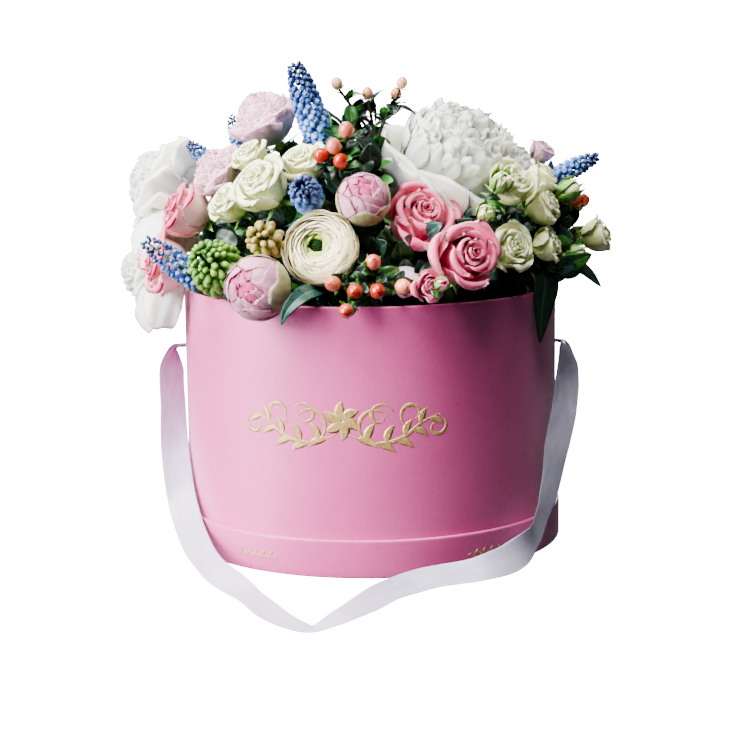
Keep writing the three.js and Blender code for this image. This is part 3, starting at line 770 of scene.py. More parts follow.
def bell_spike(growth, finish, foot, tip, radius, profile, bells, length, droop, lobes=0):
    """Bells set in a spiral round a stalk from foot to tip. droop turns the low ones down."""
    rng = growth.rng
    axis = unit(tip - foot)
    height = norm(tip - foot)
    side = turn_to(axis)
    growth.stand(*UPRIGHT)
    growth.tube([foot, foot + axis * height * 0.5, foot + axis * height * 0.93],
        [1.5 * MM, 1.2 * MM, 0.6 * MM], STEM)
    for index in range(bells):
        t = (index + 0.5) / bells
        bell = length * blend(1.0, 0.45, t ** 1.2) * rng.uniform(0.88, 1.1)
        girth = radius * sin(pi * (0.30 + 0.58 * t)) ** 0.75
        start = max(girth - bell * 0.95, 0.3 * MM)
        turn = index * GOLDEN_TURN + rng.uniform(-0.2, 0.2)
        out = side @ around(1, turn, 0)
        tilt = blend(-droop, 0.9, t ** 1.4) + rng.uniform(-0.2, 0.2)
        direction = unit(out + axis * tilt)
        place = foot + axis * height * blend(0.03, 0.97, t) + out * start
        growth.stand(place, direction, bell, rng.uniform(0, 6))
        growth.turned(profile, finish, 8, layer=t, lobes=lobes, lobe_depth=0.10)
    growth.stand(*UPRIGHT)


# ---- Leaves ----

def leaf_blade(growth, finish, points, half_width, up, fold=0.25, rows=13, columns=7):
    """A leaf along points that faces up, folded a little along its midrib."""
    rng = growth.rng
    share = np.linspace(0, 1, rows)
    middle = by_length(points)(share)
    ahead = units(np.gradient(middle, axis=0))
    side = units(np.cross(ahead, up))
    face = np.cross(side, ahead)
    bulge = share ** (log(0.5) / log(LEAF_FULLEST))
    width = half_width * np.sin(pi * np.clip(bulge, 0, 1)) ** 0.8 + 0.35 * MM
    across = np.linspace(-1, 1, columns)
    phase = rng.uniform(0, 6)
    wave = fold * np.abs(across) + 0.06 * np.sin(share[:, None] * 11 + phase + across * 1.5)
    grid = (middle[:, None] + side[:, None] * (width[:, None] * across)[..., None]
        + face[:, None] * (width[:, None] * wave)[..., None])
    growth.sheet(grid, finish, LEAF_THICKNESS)


def sprig_leaf(growth, finish, base, direction, length, half_width, up, bend=0.25):
    """A leaf that leaves base along direction and bows over."""
    direction = unit(direction)
    droop = -unit(np.asarray(up, float)) * length * bend
    points = [base, base + direction * length * 0.35 - droop * 0.12,
        base + direction * length * 0.7 + droop * 0.2, base + direction * length + droop]
    leaf_blade(growth, finish, points, half_width, up)


def stem_to(growth, finish, foot, top, radius):
    """A stem from its foot in the foam to a head."""
    growth.stand(*UPRIGHT)
    line = by_length([foot, (foot + top) / 2, top])(np.linspace(0, 1, 5))
    growth.tube(line, [radius, radius, radius, radius * 0.95, radius * 1.1], finish, 8)


# ---- Planting ----

# The record's slot of each finish.
SLOTS = {
    WHITE: "white_petal", CREAM: "cream_petal", BUTTER: "cream_petal", PINK: "pink_petal",
    BLUSH: "blush_petal", BLUSH_EDGED: "blush_petal", BUD_PINK: "blush_petal", BLUE: "blue_bell",
    GREEN_BUD: "green_bud", TAN_BUD: "tan_bud", BERRY: "berry", BERRY_PALE: "berry",
    LEAF_DARK: "leaf", LEAF_BLUE: "leaf", SATIN: "ribbon", FOIL: "gold_foil", PAPER: "box_paper",
    LINING: "lining", PLASTIC: "pot",
}


def belongs(piece, nodes, body):
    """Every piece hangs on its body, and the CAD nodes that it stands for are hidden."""
    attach(piece, body)
    if nodes:
        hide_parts(*nodes)


def planted(growth, name, finish, *nodes, body="arrangement"):
    piece = growth.piece(name)
    belongs(piece, nodes, body)
    return piece


def seeded(name):
    """A growth with a random source of its own, the same in every run."""
    return Growth(default_rng(sum((k + 1) * ord(c) for k, c in enumerate(name))))


# Each kind of head: how it is made, with which values, and its sepals if not the usual ones.
HEADS = {
    "rose": (rose, {}),
    "garden_rose": (rose, {"petals": 26, "ruffle": 0.02}),
    "spray_rose": (rose, {"ruffle": 0.04}),
    "peony": (full_peony, {}),
    "soft_peony": (full_peony, {"petals": 84, "guards": 11, "guard_drop": 0.0, "width": 0.34,
                                "length": 0.86, "lowest": 86}),
    "bud": (ball_bud, {"guard_finish": GUARD}, (SEPAL_BLUSH, 4, 0.8, -0.95, -0.25, 34.0)),
    "ranunculus": (layered_ball, {"heart": STEM}),
}


def make_head(growth, kind, finish):
    maker, values, *own_sepals = HEADS[kind]
    maker(growth, finish, **values)
    sepals(growth, *(own_sepals[0] if own_sepals else (SEPAL,)))
    hip(growth)


# Single heads: kind, petals, and each CAD node with the head's size beside the CAD's radius.
SINGLES = [
    ("peony", WHITE, [("peony_white_crown", 1.12), ("peony_white_back", 1.1)]),
    ("soft_peony", WHITE, [("peony_white_left", 1.15), ("peony_white_low", 1.35)]),
    ("soft_peony", BLUSH, [
        ("peony_pink_top", 1.1), ("peony_pink_left", 1.2), ("peony_pink_back", 1.04)]),
    ("bud", BUD_PINK, [
        ("peony_bud_front", 1.08), ("peony_bud_centre", 1.0), ("peony_bud_back", 1.0)]),
    ("rose", BLUSH_EDGED, [
        ("rose_blush_upper", 1.22), ("rose_blush_lower", 1.22), ("rose_blush_back", 1.1)]),
    ("garden_rose", CREAM, [
        ("rose_white_front", 1.36), ("rose_white_left", 1.28), ("rose_white_top", 1.3),
        ("rose_white_rear", 1.28), ("rose_white_right_back", 1.04),
        ("rose_white_left_back", 1.04), ("rose_white_side_back", 1.04),
        ("rose_white_crown_back", 1.04)]),
    ("rose", PINK, [
        ("rose_pink_left", 1.28), ("rose_pink_right", 1.16), ("rose_pink_back", 1.08),
        ("rose_pink_right_back", 1.08)]),
    ("ranunculus", BUTTER, [("ranunculus_front", 1.07), ("ranunculus_back", 1.05)]),
]
CROWN_SAG = np.array([-10, -3, -9]) * MM         # the heavy crown peony hangs off its CAD place


def plant_single(kind, finish, node, size):
    growth = seeded(node)
    place, axis, radius, foot = head_of(node)
    if node == "peony_white_crown":
        place = place + CROWN_SAG
    growth.stand(place, axis, radius * size, growth.rng.uniform(0, 2 * pi))
    make_head(growth, kind, finish)
    stem_to(growth, STEM, foot, place - axis * radius * 0.85, FLOWER_STEM)
    planted(growth, node + "_bloom", finish, node)


# Spikes of muscari and hyacinth: CAD node, petals, bells, bell length in mm, droop, and girth
# beside the CAD's.
SPIKES = [
    ("muscari_left_front", BLUE, 84, 5.4, 0.8, 1.4),
    ("muscari_left_back", BLUE, 60, 4.6, 0.8, 1.25),
    ("muscari_rear", BLUE, 44, 4.0, 0.8, 1.25),
    ("muscari_tall", BLUE, 170, 7.6, 1.6, 1.2),
    ("muscari_centre", BLUE, 112, 7.2, 1.6, 1.15),
    ("muscari_right", BLUE, 84, 6.0, 1.0, 1.2),
    ("hyacinth_green", GREEN_BUD, 110, 10.5, 1.1, 1.2),
    ("hyacinth_tan", TAN_BUD, 30, 11, 0.6, 1.5),
    ("hyacinth_back", GREEN_BUD, 64, 8.5, 0.8, 1.05),
]


def plant_spike(node, finish, bells, length, droop, fullness):
    growth = seeded(node)
    foot, tip, radius = spike_of(node)
    profile, lobes = (BELL, 0) if finish == BLUE else (PLUMP_BUD, 3)
    bell_spike(growth, finish, foot, tip, radius * fullness, profile, bells, length * MM, droop, lobes)
    stem_to(growth, STEM, stem_foot(node), foot, THIN_STEM)
    planted(growth, node + "_bloom", finish, node)


# Branches: CAD node, fork, and heads with their radius in mm, where the CAD has them, and petals.
# A head under BUD_LIMIT mm on a rose branch is a closed bud.
BUD_LIMIT = 8.5
BRANCHES = [
    ("spray_white_high", (58, 27, 122), CREAM, [
        (62, 28, 149, 13), (48, 35, 152, 15), (68, 35, 153, 11.5), (70, 29, 163, 8),
        (37, 29, 143, 6.5), (40, 34, 160, 7.5)]),
    ("spray_white_low", (52, 17, 116), CREAM, [
        (44, 19, 140, 15), (59, 18, 145, 11), (66, 14, 156, 6.5)]),
    ("spray_white_side", (82, 15, 135), CREAM, [(82, 16, 165, 12), (91, 17, 152, 6)]),
    ("spray_blush_rear", (92, 25, 128), BLUSH, [(85, 41, 158, 9)]),
    ("spray_pink_front", (15, 12, 122), PINK, [(16, 11, 140, 10), (18, 11, 150, 5)]),
    ("berries_upper", (-13, 50, 128), BERRY, [
        (-9, 54, 152, 6), (-14, 51, 145, 6), (-19, 49, 141, 6), (-11, 48, 139, 6)]),
    ("berries_crown", (10, 76, 118), BERRY_PALE, [
        (-28, 74, 158, 4.5), (0, 78, 148, 4.5), (38, 76, 156, 4.5), (50, 80, 146, 4.5)]),
    ("berries_low", (0, 15, 118), BERRY, [
        (-10, 12, 138, 6), (-4, 10, 137, 6), (2, 10, 138, 6), (9, 11, 137, 6), (1, 18, 134, 6),
        (-6, 5, 145, 5.5)]),
    ("berries_right", (86, 26, 138), BERRY, [
        (81, 26, 160, 5.5), (86, 25, 163, 5.5), (90, 24, 158, 5.5)]),
]
EGG = [(0.12, -1.0), (0.55, -0.86), (0.86, -0.5), (0.97, -0.02), (0.86, 0.48), (0.56, 0.86),
       (0.24, 1.03), (0.07, 1.1)]
CALYX = [(0.1, -1.0), (0.55, -1.08), (1.05, -0.95), (1.5, -0.62)]


def berry(growth, finish):
    """A berry on its calyx of five small leaves."""
    growth.turned(EGG, finish, 16)
    for index in range(5):
        turn = index * 2 * pi / 5 + growth.rng.uniform(-0.2, 0.2)
        wrapped_petal(growth, LEAF_FRESH, CALYX, turn, radians(28), 0.9, spiral=0.0, tip=0.8,
            tip_power=1.2, foot=0.9, thickness=0.06, rows=8, columns=5)


def closed_bud(growth, finish):
    """A closed rosebud in its green sepals."""
    for index in range(5):
        t = index / 4
        size = 0.62 + 0.14 * t
        angles = np.linspace(radians(165), radians(5 + 14 * t), 6)
        profile = [(size * sin(a), size * cos(a) * 1.35) for a in angles]
        wrapped_petal(growth, finish, profile, index * GOLDEN_TURN, radians(80), t, tip=0.3, foot=0.8,
            ruffle=0.02, thickness=0.04, rows=10, columns=9)
    for index in range(5):
        turn = index * 2 * pi / 5 + growth.rng.uniform(-0.15, 0.15)
        flare = growth.rng.uniform(0.0, 0.35)
        profile = [(0.12, -1.05), (0.55, -0.85), (0.86, -0.25), (0.80 + flare * 0.5, 0.35),
            (0.55 + flare, 0.95), (0.45 + flare * 1.4, 1.35)]
        wrapped_petal(growth, SEPAL, profile, turn, radians(38), 0.9, spiral=0.0, tip=0.6, tip_power=0.9,
            foot=0.9, thickness=0.05, rows=11, columns=7)
    growth.turned([(0.08, -1.5), (0.26, -1.38), (0.34, -1.12), (0.25, -0.9), (0.08, -0.8)], SEPAL)


def plant_branch(node, fork_spot, finish, heads):
    growth = seeded(node)
    rng = growth.rng
    fork = spot(*fork_spot)
    berries = SLOTS[finish] == "berry"
    wood = TWIG if berries else STEM
    stem_to(growth, wood, stem_foot(node), fork, THIN_STEM)
    for *head_spot, radius in heads:
        place = spot(*head_spot)
        out = unit(place - BINDING)
        lead = unit(place - fork)
        axis = unit(out + lead * 0.8)
        base = place - axis * radius * MM * (1.0 if berries else 0.95)
        growth.stand(*UPRIGHT)
        bend = by_length([fork, blend(fork, base, 0.5) - axis * 1.5 * MM, base])
        share = np.linspace(0, 1, 6)
        growth.tube(bend(share), blend(1.3, 0.9, share) * MM, wood, 7)
        for _ in range(6 if berries else 3):
            way = unit(lead * 0.6 + rng.normal(0, 0.7, 3) + out * 0.2)
            start = blend(fork, base, rng.uniform(0.2, 0.85))
            sprig_leaf(growth, LEAF_FRESH if rng.random() < 0.5 else LEAF_DARK, start, way,
                rng.uniform(11, 19) * MM, rng.uniform(3.4, 5.2) * MM, out)
        size = 0.9 if berries else 1.1 if radius < BUD_LIMIT else 1.22
        growth.stand(place, axis, radius * size * MM, rng.uniform(0, 6))
        if berries:
            berry(growth, finish)
        elif radius < BUD_LIMIT:
            closed_bud(growth, finish)
        else:
            make_head(growth, "spray_rose", finish)
    planted(growth, node + "_bloom", finish, node)


# Leaves with a CAD node of their own: half width, the way they face, and middle line in mm.
LEAVES = [
    ("leaf_over_rim", LEAF_DARK, 9.5, (0.5, -0.85, 0.3), [
        (96, -50, 190), (109, -61, 195), (116, -69, 187), (114.5, -73, 169), (112.5, -76, 145)]),
    ("leaf_front", LEAF_BLUE, 6.0, (0.3, -0.6, 0.75), [
        (-31, -108, 187), (-36, -124, 188), (-44, -136, 186), (-52, -144, 179),
        (-56, -149, 170)]),
    ("leaf_right", LEAF_DARK, 8.5, (0.2, -0.6, 0.8), [
        (98, -30, 192), (122, -38, 196), (144, -44, 190), (157, -46, 178)]),
]


def plant_leaf(node, finish, half_width, face, points):
    growth = seeded(node)
    line = np.array(points) * MM
    leaf_blade(growth, finish, line, half_width * MM, face, rows=25, columns=11, fold=0.18)
    stem_to(growth, TWIG, stem_foot(node), line[0], THIN_STEM)
    planted(growth, node + "_blade", finish, node)


# Petals that hang loose from a head: half width, the way they face, and middle line in mm.
LOOSE_PETALS = [
    ("petal_hanging_left", WHITE, 15, (-0.5, -0.8, 0.3), [
        (-128, -14, 190), (-144, -22, 184), (-152, -28, 168), (-153, -32, 148)]),
    ("petal_hanging_high", WHITE, 14, (-0.5, -0.8, 0.2), [
        (-132, 4, 236), (-144, -8, 230), (-153, -17, 217), (-158, -22, 197)]),
    ("petal_hanging_low", WHITE, 14, (-0.1, -0.9, 0.35), [
        (-120, -23, 195), (-134, -36, 190), (-141, -43, 174), (-141, -45, 151)]),
    ("petal_hanging_middle", BLUSH_EDGED, 11, (-0.3, -0.8, 0.4), [
        (-118, -22, 198), (-132, -34, 199), (-143, -40, 190), (-147, -42, 175)]),
    ("petal_hanging_upper", BLUSH_EDGED, 11, (-0.2, -0.8, 0.5), [
        (-108, -24, 206), (-126, -36, 212), (-144, -42, 206), (-155, -42, 193)]),
    ("petal_crown_left", WHITE, 13, (-0.8, -0.6, 0.0), [
        (36, -30, 232), (18, -36, 236), (7, -34, 256), (9, -26, 284)]),
    ("petal_crown_low", WHITE, 17, (-0.2, -0.75, 0.6), [
        (60, -44, 244), (48, -62, 246), (36, -72, 236), (28, -74, 224)]),
    ("petal_rim_pink", BLUSH, 13, (-0.1, -0.7, 0.7), [
        (48, -84, 178), (38, -104, 192), (26, -118, 196), (14, -128, 186)]),
]


def plant_loose_petal(name, finish, half_width, face, points):
    """A wide petal along points that faces face, with a round, wavy tip and a cupped blade."""
    growth = seeded(name)
    phases = growth.rng.uniform(0, 2 * pi, 3)
    up = np.linspace(0, 1, 29)[:, None]
    across = np.linspace(-1, 1, 25)[None, :]
    edge = 0.98 - 0.22 * np.abs(across) ** 2.6 + 0.02 * np.sin(across * 6 + phases[0])
    share = np.clip(up * edge, 0, 1)
    line = by_length(np.array(points) * MM)
    middle = line(share)
    ahead = line(np.clip(share + 0.03, 0, 1)) - line(np.clip(share - 0.03, 0, 1))
    side = units(np.cross(ahead, face))
    normal = units(np.cross(side, ahead))
    width = half_width * MM * blend(0.35, 1.0, smoothstep(share, 0.0, 0.6))
    ripple = np.sin(across * 3 + share * 3 + phases[1]) \
        + 0.35 * np.sin(across * 8 - share * 9 + phases[2])
    lift = width * (-0.26 * across ** 2 + 0.13 * smoothstep(share, 0.2, 1.0) * ripple)
    grid = middle + side * (width * across)[..., None] + normal * lift[..., None]
    growth.sheet(grid, finish, LOOSE_PETAL_THICKNESS)
    planted(growth, name, finish)


RIM_CLEAR = 190 * MM          # leaves below this height stay within WALL_CLEAR of the axis
WALL_CLEAR = 118 * MM


def leaf_spray(growth, heads, count, bearings, rises, reaches, lengths, widths, scatter=0.38):
    """Leaves that point outwards from a patch of the dome, clear of the heads. Each pair is a low
    and a high value."""
    rng = growth.rng
    for _ in range(count):
        bearing, reach = rng.uniform(*bearings), rng.uniform(*reaches)
        rise = degrees(asin(rng.uniform(*np.sin(np.radians(rises)))))
        base = spot(bearing, rise, reach)
        out = unit(base - BINDING)
        way = unit(out + rng.normal(0, scatter, 3))
        finish = (LEAF_DARK, LEAF_DARK, LEAF_BLUE, LEAF_FRESH)[rng.integers(4)]
        length, width = rng.uniform(*lengths) * MM, rng.uniform(*widths) * MM
        tip = base + way * length
        if tip[2] < RIM_CLEAR and hypot(tip[0], tip[1]) > WALL_CLEAR:
            continue
        if any(norm(blend(base, tip, share) - place) < radius
               for place, radius in heads for share in (0.5, 1.0)):
            continue
        sprig_leaf(growth, finish, base, way, length, width, out, bend=rng.uniform(0.0, 0.3))


# Sprays on each of the four sides: leaves, rises, reaches, lengths, half widths and scatter.
SIDE_SPRAYS = [
    (60, (6, 38), (96, 106), (22, 34), (6, 9)),
    (64, (36, 84), (66, 84), (26, 40), (7, 10)),
    (44, (10, 60), (108, 122), (16, 26), (5, 8), 0.5),
    (90, (7, 20), (86, 104), (13, 21), (5, 8), 0.55),
]


def plant_foliage():
    """Dark leaves between the stems, over the foam, in sprays round the dome."""
    heads = []
    for _, _, flowers in SINGLES:
        for node, size in flowers:
            place, _, radius, _ = head_of(node)
            heads.append((place, radius * size))
    for branch in BRANCHES:
        heads += [(spot(*head[:3]), head[3] * 1.2 * MM) for head in branch[-1]]
    patches = {}
    for index, name in enumerate(("front", "right", "back", "left")):
        bearings = (90 * index - 46, 90 * index + 46)
        patches[name] = 100 + index, [(row[0], bearings, *row[1:]) for row in SIDE_SPRAYS]
    patches["crown"] = 110, [(56, (-50, 16), (54, 82), (90, 126), (20, 32), (6.5, 10), 0.5)]
    patches["side"] = 111, [(130, (58, 102), (8, 36), (108, 138), (25, 39), (6, 9.5), 0.45)]
    for name, (seed, sprays) in patches.items():
        growth = Growth(default_rng(seed))
        for spray in sprays:
            leaf_spray(growth, heads, *spray)
        planted(growth, "foliage_" + name, LEAF_DARK)


# ---- The box and its lid ----

ROUND_SIDES = 144
PAPER_THICK = 0.4 * MM
HOLE_RADIUS = 4.5 * MM
SHARP_ANGLE = radians(50)


def round_shell(name, profile, finish, body, node):
    """A closed profile of (radius, height) in metres turned about the axis."""
    mesh = bmesh.new()
    turn = np.linspace(0, 2 * pi, ROUND_SIDES, endpoint=False)
    rings = [[mesh.verts.new(point) for point in around(radius, turn, height)]
             for radius, height in profile]
    for here, ahead in zip(rings, rings[1:] + rings[:1]):
        for k in range(ROUND_SIDES):
            after = (k + 1) % ROUND_SIDES
            mesh.faces.new((here[k], here[after], ahead[after], ahead[k]))
    bmesh.ops.recalc_face_normals(mesh, faces=mesh.faces)
    data = bpy.data.meshes.new(name)
    mesh.to_mesh(data)
    mesh.free()
    data.materials.append(finish)
    piece = placed(name, data)
    data.shade_smooth()
    data.set_sharp_from_angle(angle=SHARP_ANGLE)
    belongs(piece, [node], body)
    return piece


def arc(centre, radius, start, end, steps=5):
    """Points of a round corner, angles in degrees from outwards (0) to up (90)."""
    angles = np.radians(np.linspace(start, end, steps))
    return [(centre[0] + radius * cos(a), centre[1] + radius * sin(a)) for a in angles]


def bored(piece):
    """Cuts the two ribbon holes through a shell."""
    hinge = next(joint for joint in frame["joints"] if joint["name"] == "handle_swing")["pos_m"]
    bpy.ops.mesh.primitive_cylinder_add(vertices=40, radius=HOLE_RADIUS, depth=0.4,
        location=(0, 0, hinge[2]), rotation=(0, pi / 2, 0))
    drill = bpy.context.object
    cut = piece.modifiers.new("holes", "BOOLEAN")
    cut.operation = "DIFFERENCE"
    cut.solver = "EXACT"
    cut.object = drill
    shape = bpy.data.meshes.new_from_object(piece.evaluated_get(bpy.context.evaluated_depsgraph_get()))
    piece.modifiers.clear()
    piece.data = shape
    bpy.data.objects.remove(drill)
    shape.set_sharp_from_angle(angle=SHARP_ANGLE)


def make_box():
    """The box's covering paper, turned in over the rim, and its lining."""
    low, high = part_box("box_wrap")
    outer, bottom = high.x, low.z
    foot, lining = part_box("wall_lining")
    inner, turn_in = lining.x - PAPER_THICK, lining.z + 0.5 * MM
    edge = (outer - inner) / 2
    crest = high.z - edge
    profile = [(outer - 0.3 * MM, bottom), (outer, bottom + 0.3 * MM)]
    profile += [(outer, bottom + share * (crest - bottom)) for share in np.linspace(0.05, 0.95, 12)]
    profile += arc((outer - edge, crest), edge, 0, 180, 9)
    profile += [(inner, turn_in), (lining.x, turn_in), (lining.x, crest), (outer - PAPER_THICK, crest),
        (outer - PAPER_THICK, bottom)]
    bored(round_shell("box_wrap_paper", profile, PAPER, "box", "box_wrap"))
    side, top = lining.x - 0.2 * MM, turn_in - 0.5 * MM
    profile = [(side, foot.z), (side, top), (inner, top), (inner, foot.z)]
    bored(round_shell("wall_lining_paper", profile, LINING, "box", "wall_lining"))


def make_lid():
    """The lid's covering paper, upside down on the table."""
    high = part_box("lid_wrap")[1]
    outer, top = high.x, high.z
    corner, lip = 1.0 * MM, 0.9 * MM
    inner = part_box("lid_rim")[1].x - 1.8 * MM + 0.05 * MM
    over, under = top + 0.3 * MM, top + 0.05 * MM
    profile = [(0.2 * MM, 0.0), (outer - corner, 0.0)]
    profile += arc((outer - corner, corner), corner, -90, 0)[1:]
    profile += [(outer, share * top) for share in np.linspace(0.15, 0.9, 5)]
    profile += arc((outer - lip, top - lip + 0.3 * MM), lip, 0, 90)
    profile += [(inner, over), (inner, under), (outer - PAPER_THICK, under),
        (outer - PAPER_THICK, PAPER_THICK), (0.2 * MM, PAPER_THICK)]
    round_shell("lid_wrap_paper", profile, PAPER, "lid_tray", "lid_wrap")


def make_pot():
    """A moulded pot with three ribs and a rim band."""
    low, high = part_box("liner_pot")
    outer, bottom, rim = high.x, low.z, high.z
    wall, ledge = 0.75 * MM, 0.9 * MM
    profile = [(0.2 * MM, bottom), (outer - 0.5 * MM, bottom), (outer, bottom + 0.5 * MM),
        (outer, bottom + 2 * MM)]
    for share in (0.12, 0.4, 0.68):
        rib = blend(bottom, rim, share)
        profile += [(outer, rib - 2.5 * MM), (outer, rib - 1.4 * MM)]
        profile += arc((outer - 0.8 * MM, rib), 1.3 * MM, -50, 50, 7)
        profile += [(outer, rib + 1.4 * MM), (outer, rib + 2.5 * MM)]
    profile += [(outer, rim - 11 * MM), (outer, rim - 9 * MM), (outer + ledge, rim - 8.4 * MM),
        (outer + ledge, rim - 7 * MM)]
    profile += arc((outer + 0.1 * MM, rim - 0.8 * MM), 0.8 * MM, 0, 90)
    profile += [(outer - wall, rim), (outer - wall, bottom + wall), (0.2 * MM, bottom + wall)]
    round_shell("liner_pot_shell", profile, PLASTIC, "arrangement", "liner_pot")


def make_boards():
    """The boards and the foam keep their CAD shapes."""
    for node in ("box_floor", "box_wall", "lid_rim", "lid_panel", "foam_block"):
        finishes = frame["nodes"][node].data.materials
        finishes.clear()
        finishes.append(FOAM if node == "foam_block" else BOARD)


# ---- Gold foil: a leafy flourish on the box, and small sprays round the lid ----

FLOURISH_BEARING = -8.5
FLOURISH_HEIGHT = 104 * MM
SPRAY_HEIGHT = 11.5 * MM
SPRAYS_ROUND = 5
FOIL_THICKNESS = 0.06 * MM
FOIL_LIFT = 0.05 * MM                          # how far its middle stands off the paper


def foil_strip(growth, line, widths, radius, bearing, height):
    """A stroke of foil. line is in millimetres on the unrolled wall, widths in millimetres."""
    ahead = units(np.gradient(line, axis=0))
    side = np.stack([-ahead[:, 1], ahead[:, 0]], -1)
    half = np.maximum(np.broadcast_to(widths, len(line)), 0.12)[:, None, None] / 2
    across = np.linspace(-1, 1, 5)[None, :, None]
    flat = line[:, None, :] + side[:, None, :] * half * across
    angle = radians(bearing) + flat[..., 0] * MM / radius
    grid = around(radius + FOIL_LIFT, angle, height + flat[..., 1] * MM)
    growth.sheet(grid, FOIL, FOIL_THICKNESS)


def curl(centre, radius, start, end, shrink):
    """A spiral stroke: its angle runs from start to end in degrees as its radius shrinks."""
    share = np.linspace(0, 1, 40)
    angle = np.radians(blend(start, end, share))
    reach = radius * blend(1.0, shrink, share)
    return np.stack([centre[0] + reach * np.cos(angle), centre[1] + reach * np.sin(angle)], -1)


def foil_leaf(growth, base, direction, length, width, radius, bearing, height, bow=0.12):
    """A pointed leaf of foil that bows to one side."""
    turn = radians(direction)
    share = np.linspace(0, 1, 12)
    bow = bow * length * np.sin(pi * share)
    line = np.stack([base[0] + length * share * cos(turn) - bow * sin(turn),
        base[1] + length * share * sin(turn) + bow * cos(turn)], -1)
    foil_strip(growth, line, width * np.sin(pi * share ** 0.8) ** 0.9, radius, bearing, height)


STALK = [(4, -9), (20, -15), (38, -12), (52, -2), (63, 3)]
SCROLLS = [((62, -5), 8, 82, -240, 0.3), ((22, -3), 12, 262, 20, 0.75), ((25, 3), 9, 20, 330, 0.3),
           ((46, 4), 9, 250, -60, 0.35)]


def make_flourish():
    """A blossom between two mirrored leafy branches, hot-stamped across the front of the box."""
    growth = Growth(default_rng(7))
    place = (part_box("box_wrap")[1].x, FLOURISH_BEARING, FLOURISH_HEIGHT)
    for turn in range(90, 450, 60):
        foil_leaf(growth, (0.0, 0.0), turn, 13, 7.5, *place)
    share = np.linspace(0, 1, 60)
    for mirror in (-1, 1):
        stalk = by_length([(mirror * x, y) for x, y in STALK])
        foil_strip(growth, stalk(share), 0.9 + 1.9 * np.sin(pi * share) ** 2, *place)
        for centre, size, start, end, shrink in SCROLLS:
            stroke = curl(centre, size, start, end, shrink) * (mirror, 1)
            taper = np.sin(pi * np.linspace(0.06, 0.98, len(stroke)))
            foil_strip(growth, stroke, 0.6 + 1.9 * taper ** 2, *place)
        for index, at in enumerate(np.linspace(0.1, 0.9, 9)):
            lean = 20 + (46 if index % 2 else -46)
            direction = lean if mirror > 0 else 180 - lean
            foil_leaf(growth, stalk(at), direction, blend(15, 10, at), blend(6, 4, at), *place,
                bow=0.12 * mirror)
    planted(growth, "box_foil_flourish", FOIL, body="box")


def make_lid_sprays():
    """Small foil sprays round the edge of the lid."""
    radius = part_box("lid_wrap")[1].x
    growth = Growth(default_rng(8))
    share = np.linspace(0, 1, 30)
    for spray in range(SPRAYS_ROUND):
        place = (radius, -36 + 360 * spray / SPRAYS_ROUND, SPRAY_HEIGHT)
        line = np.stack([blend(-18, 18, share), 0.8 * np.sin(share * 2 * pi)], -1)
        foil_strip(growth, line, 0.5, *place)
        for index, at in enumerate(np.linspace(-15, 15, 11)):
            up = 1 if index % 2 else -1
            foil_leaf(growth, (at, 0.0), up * 55, 3.8, 1.9, *place)
    planted(growth, "lid_foil_sprays", FOIL, body="lid_tray")


# ---- The ribbon handle ----

# The CAD's stations along the ribbon in mm: its middle, and the direction across it.
RIBBON = [
    ((-124.5, 0, 135), (0, 1, 0)), ((-131, 0, 135), (0, 1, 0)), ((-137, -3, 134), (0.4, 0.9, 0)),
    ((-139.5, -10, 120), (0.8, 0.6, 0)), ((-138.5, -21, 94), (0.8, 0.55, 0.1)),
    ((-136, -36, 64), (0.7, 0.45, 0.45)), ((-131, -53, 37), (0.65, 0.5, 0.55)),
    ((-122, -78, 17), (0.6, 0.68, 0.42)), ((-110, -112, 8), (0.52, 0.82, 0.22)),
    ((-94, -150, 5.5), (0.5, 0.82, 0.26)), ((-78, -188, 5.5), (0.5, 0.86, 0.02)),
    ((-63, -222, 5), (0.45, 0.88, 0.06)), ((-49, -246, 4), (0.35, 0.93, -0.06)),
    ((-38, -255, 3.5), (0.05, 0.98, -0.16)), ((-29, -248, 4), (-0.25, 0.95, -0.14)),
    ((-16, -230, 5), (-0.35, 0.92, 0.08)), ((-3, -206, 6), (-0.38, 0.88, 0.26)),
    ((13, -179, 6.5), (-0.38, 0.86, 0.32)), ((30, -161, 6.5), (-0.25, 0.88, 0.38)),
    ((49, -150, 7), (-0.15, 0.86, 0.44)), ((70, -139, 7.5), (-0.2, 0.76, 0.54)),
    ((91, -118, 9.5), (-0.42, 0.34, 0.78)), ((106, -96, 16), (-0.4, -0.6, 0.6)),
    ((114.5, -79, 30), (-0.5, -0.8, 0.1)), ((121, -65, 50), (-0.7, -0.7, 0)),
    ((126, -58, 72), (-0.85, -0.5, 0.1)), ((131.5, -48, 94), (-0.85, -0.45, 0.1)),
    ((135, -37, 112), (-0.85, -0.5, 0.1)), ((136.5, -22, 127), (-0.6, -0.75, 0.1)),
    ((136, -7, 134.5), (-0.2, -0.95, 0)), ((131, 0, 135), (0, -1, 0)),
    ((124.5, 0, 135), (0, -1, 0)),
]
RIBBON_WIDTH = 20 * MM
GATHERED_WIDTH = 5.4 * MM
RIBBON_THICKNESS = 0.45 * MM
PLEATS = 3
PLEAT_DEPTH = 1.1 * MM
RIBBON_ROWS = 420
RIBBON_COLUMNS = 33
RIBBON_WAVE = 0.55 * MM
RIBBON_CUP = 0.5 * MM
KNOT_SIZE = 1.25 * MM
KNOT_CORD = 1.35 * MM


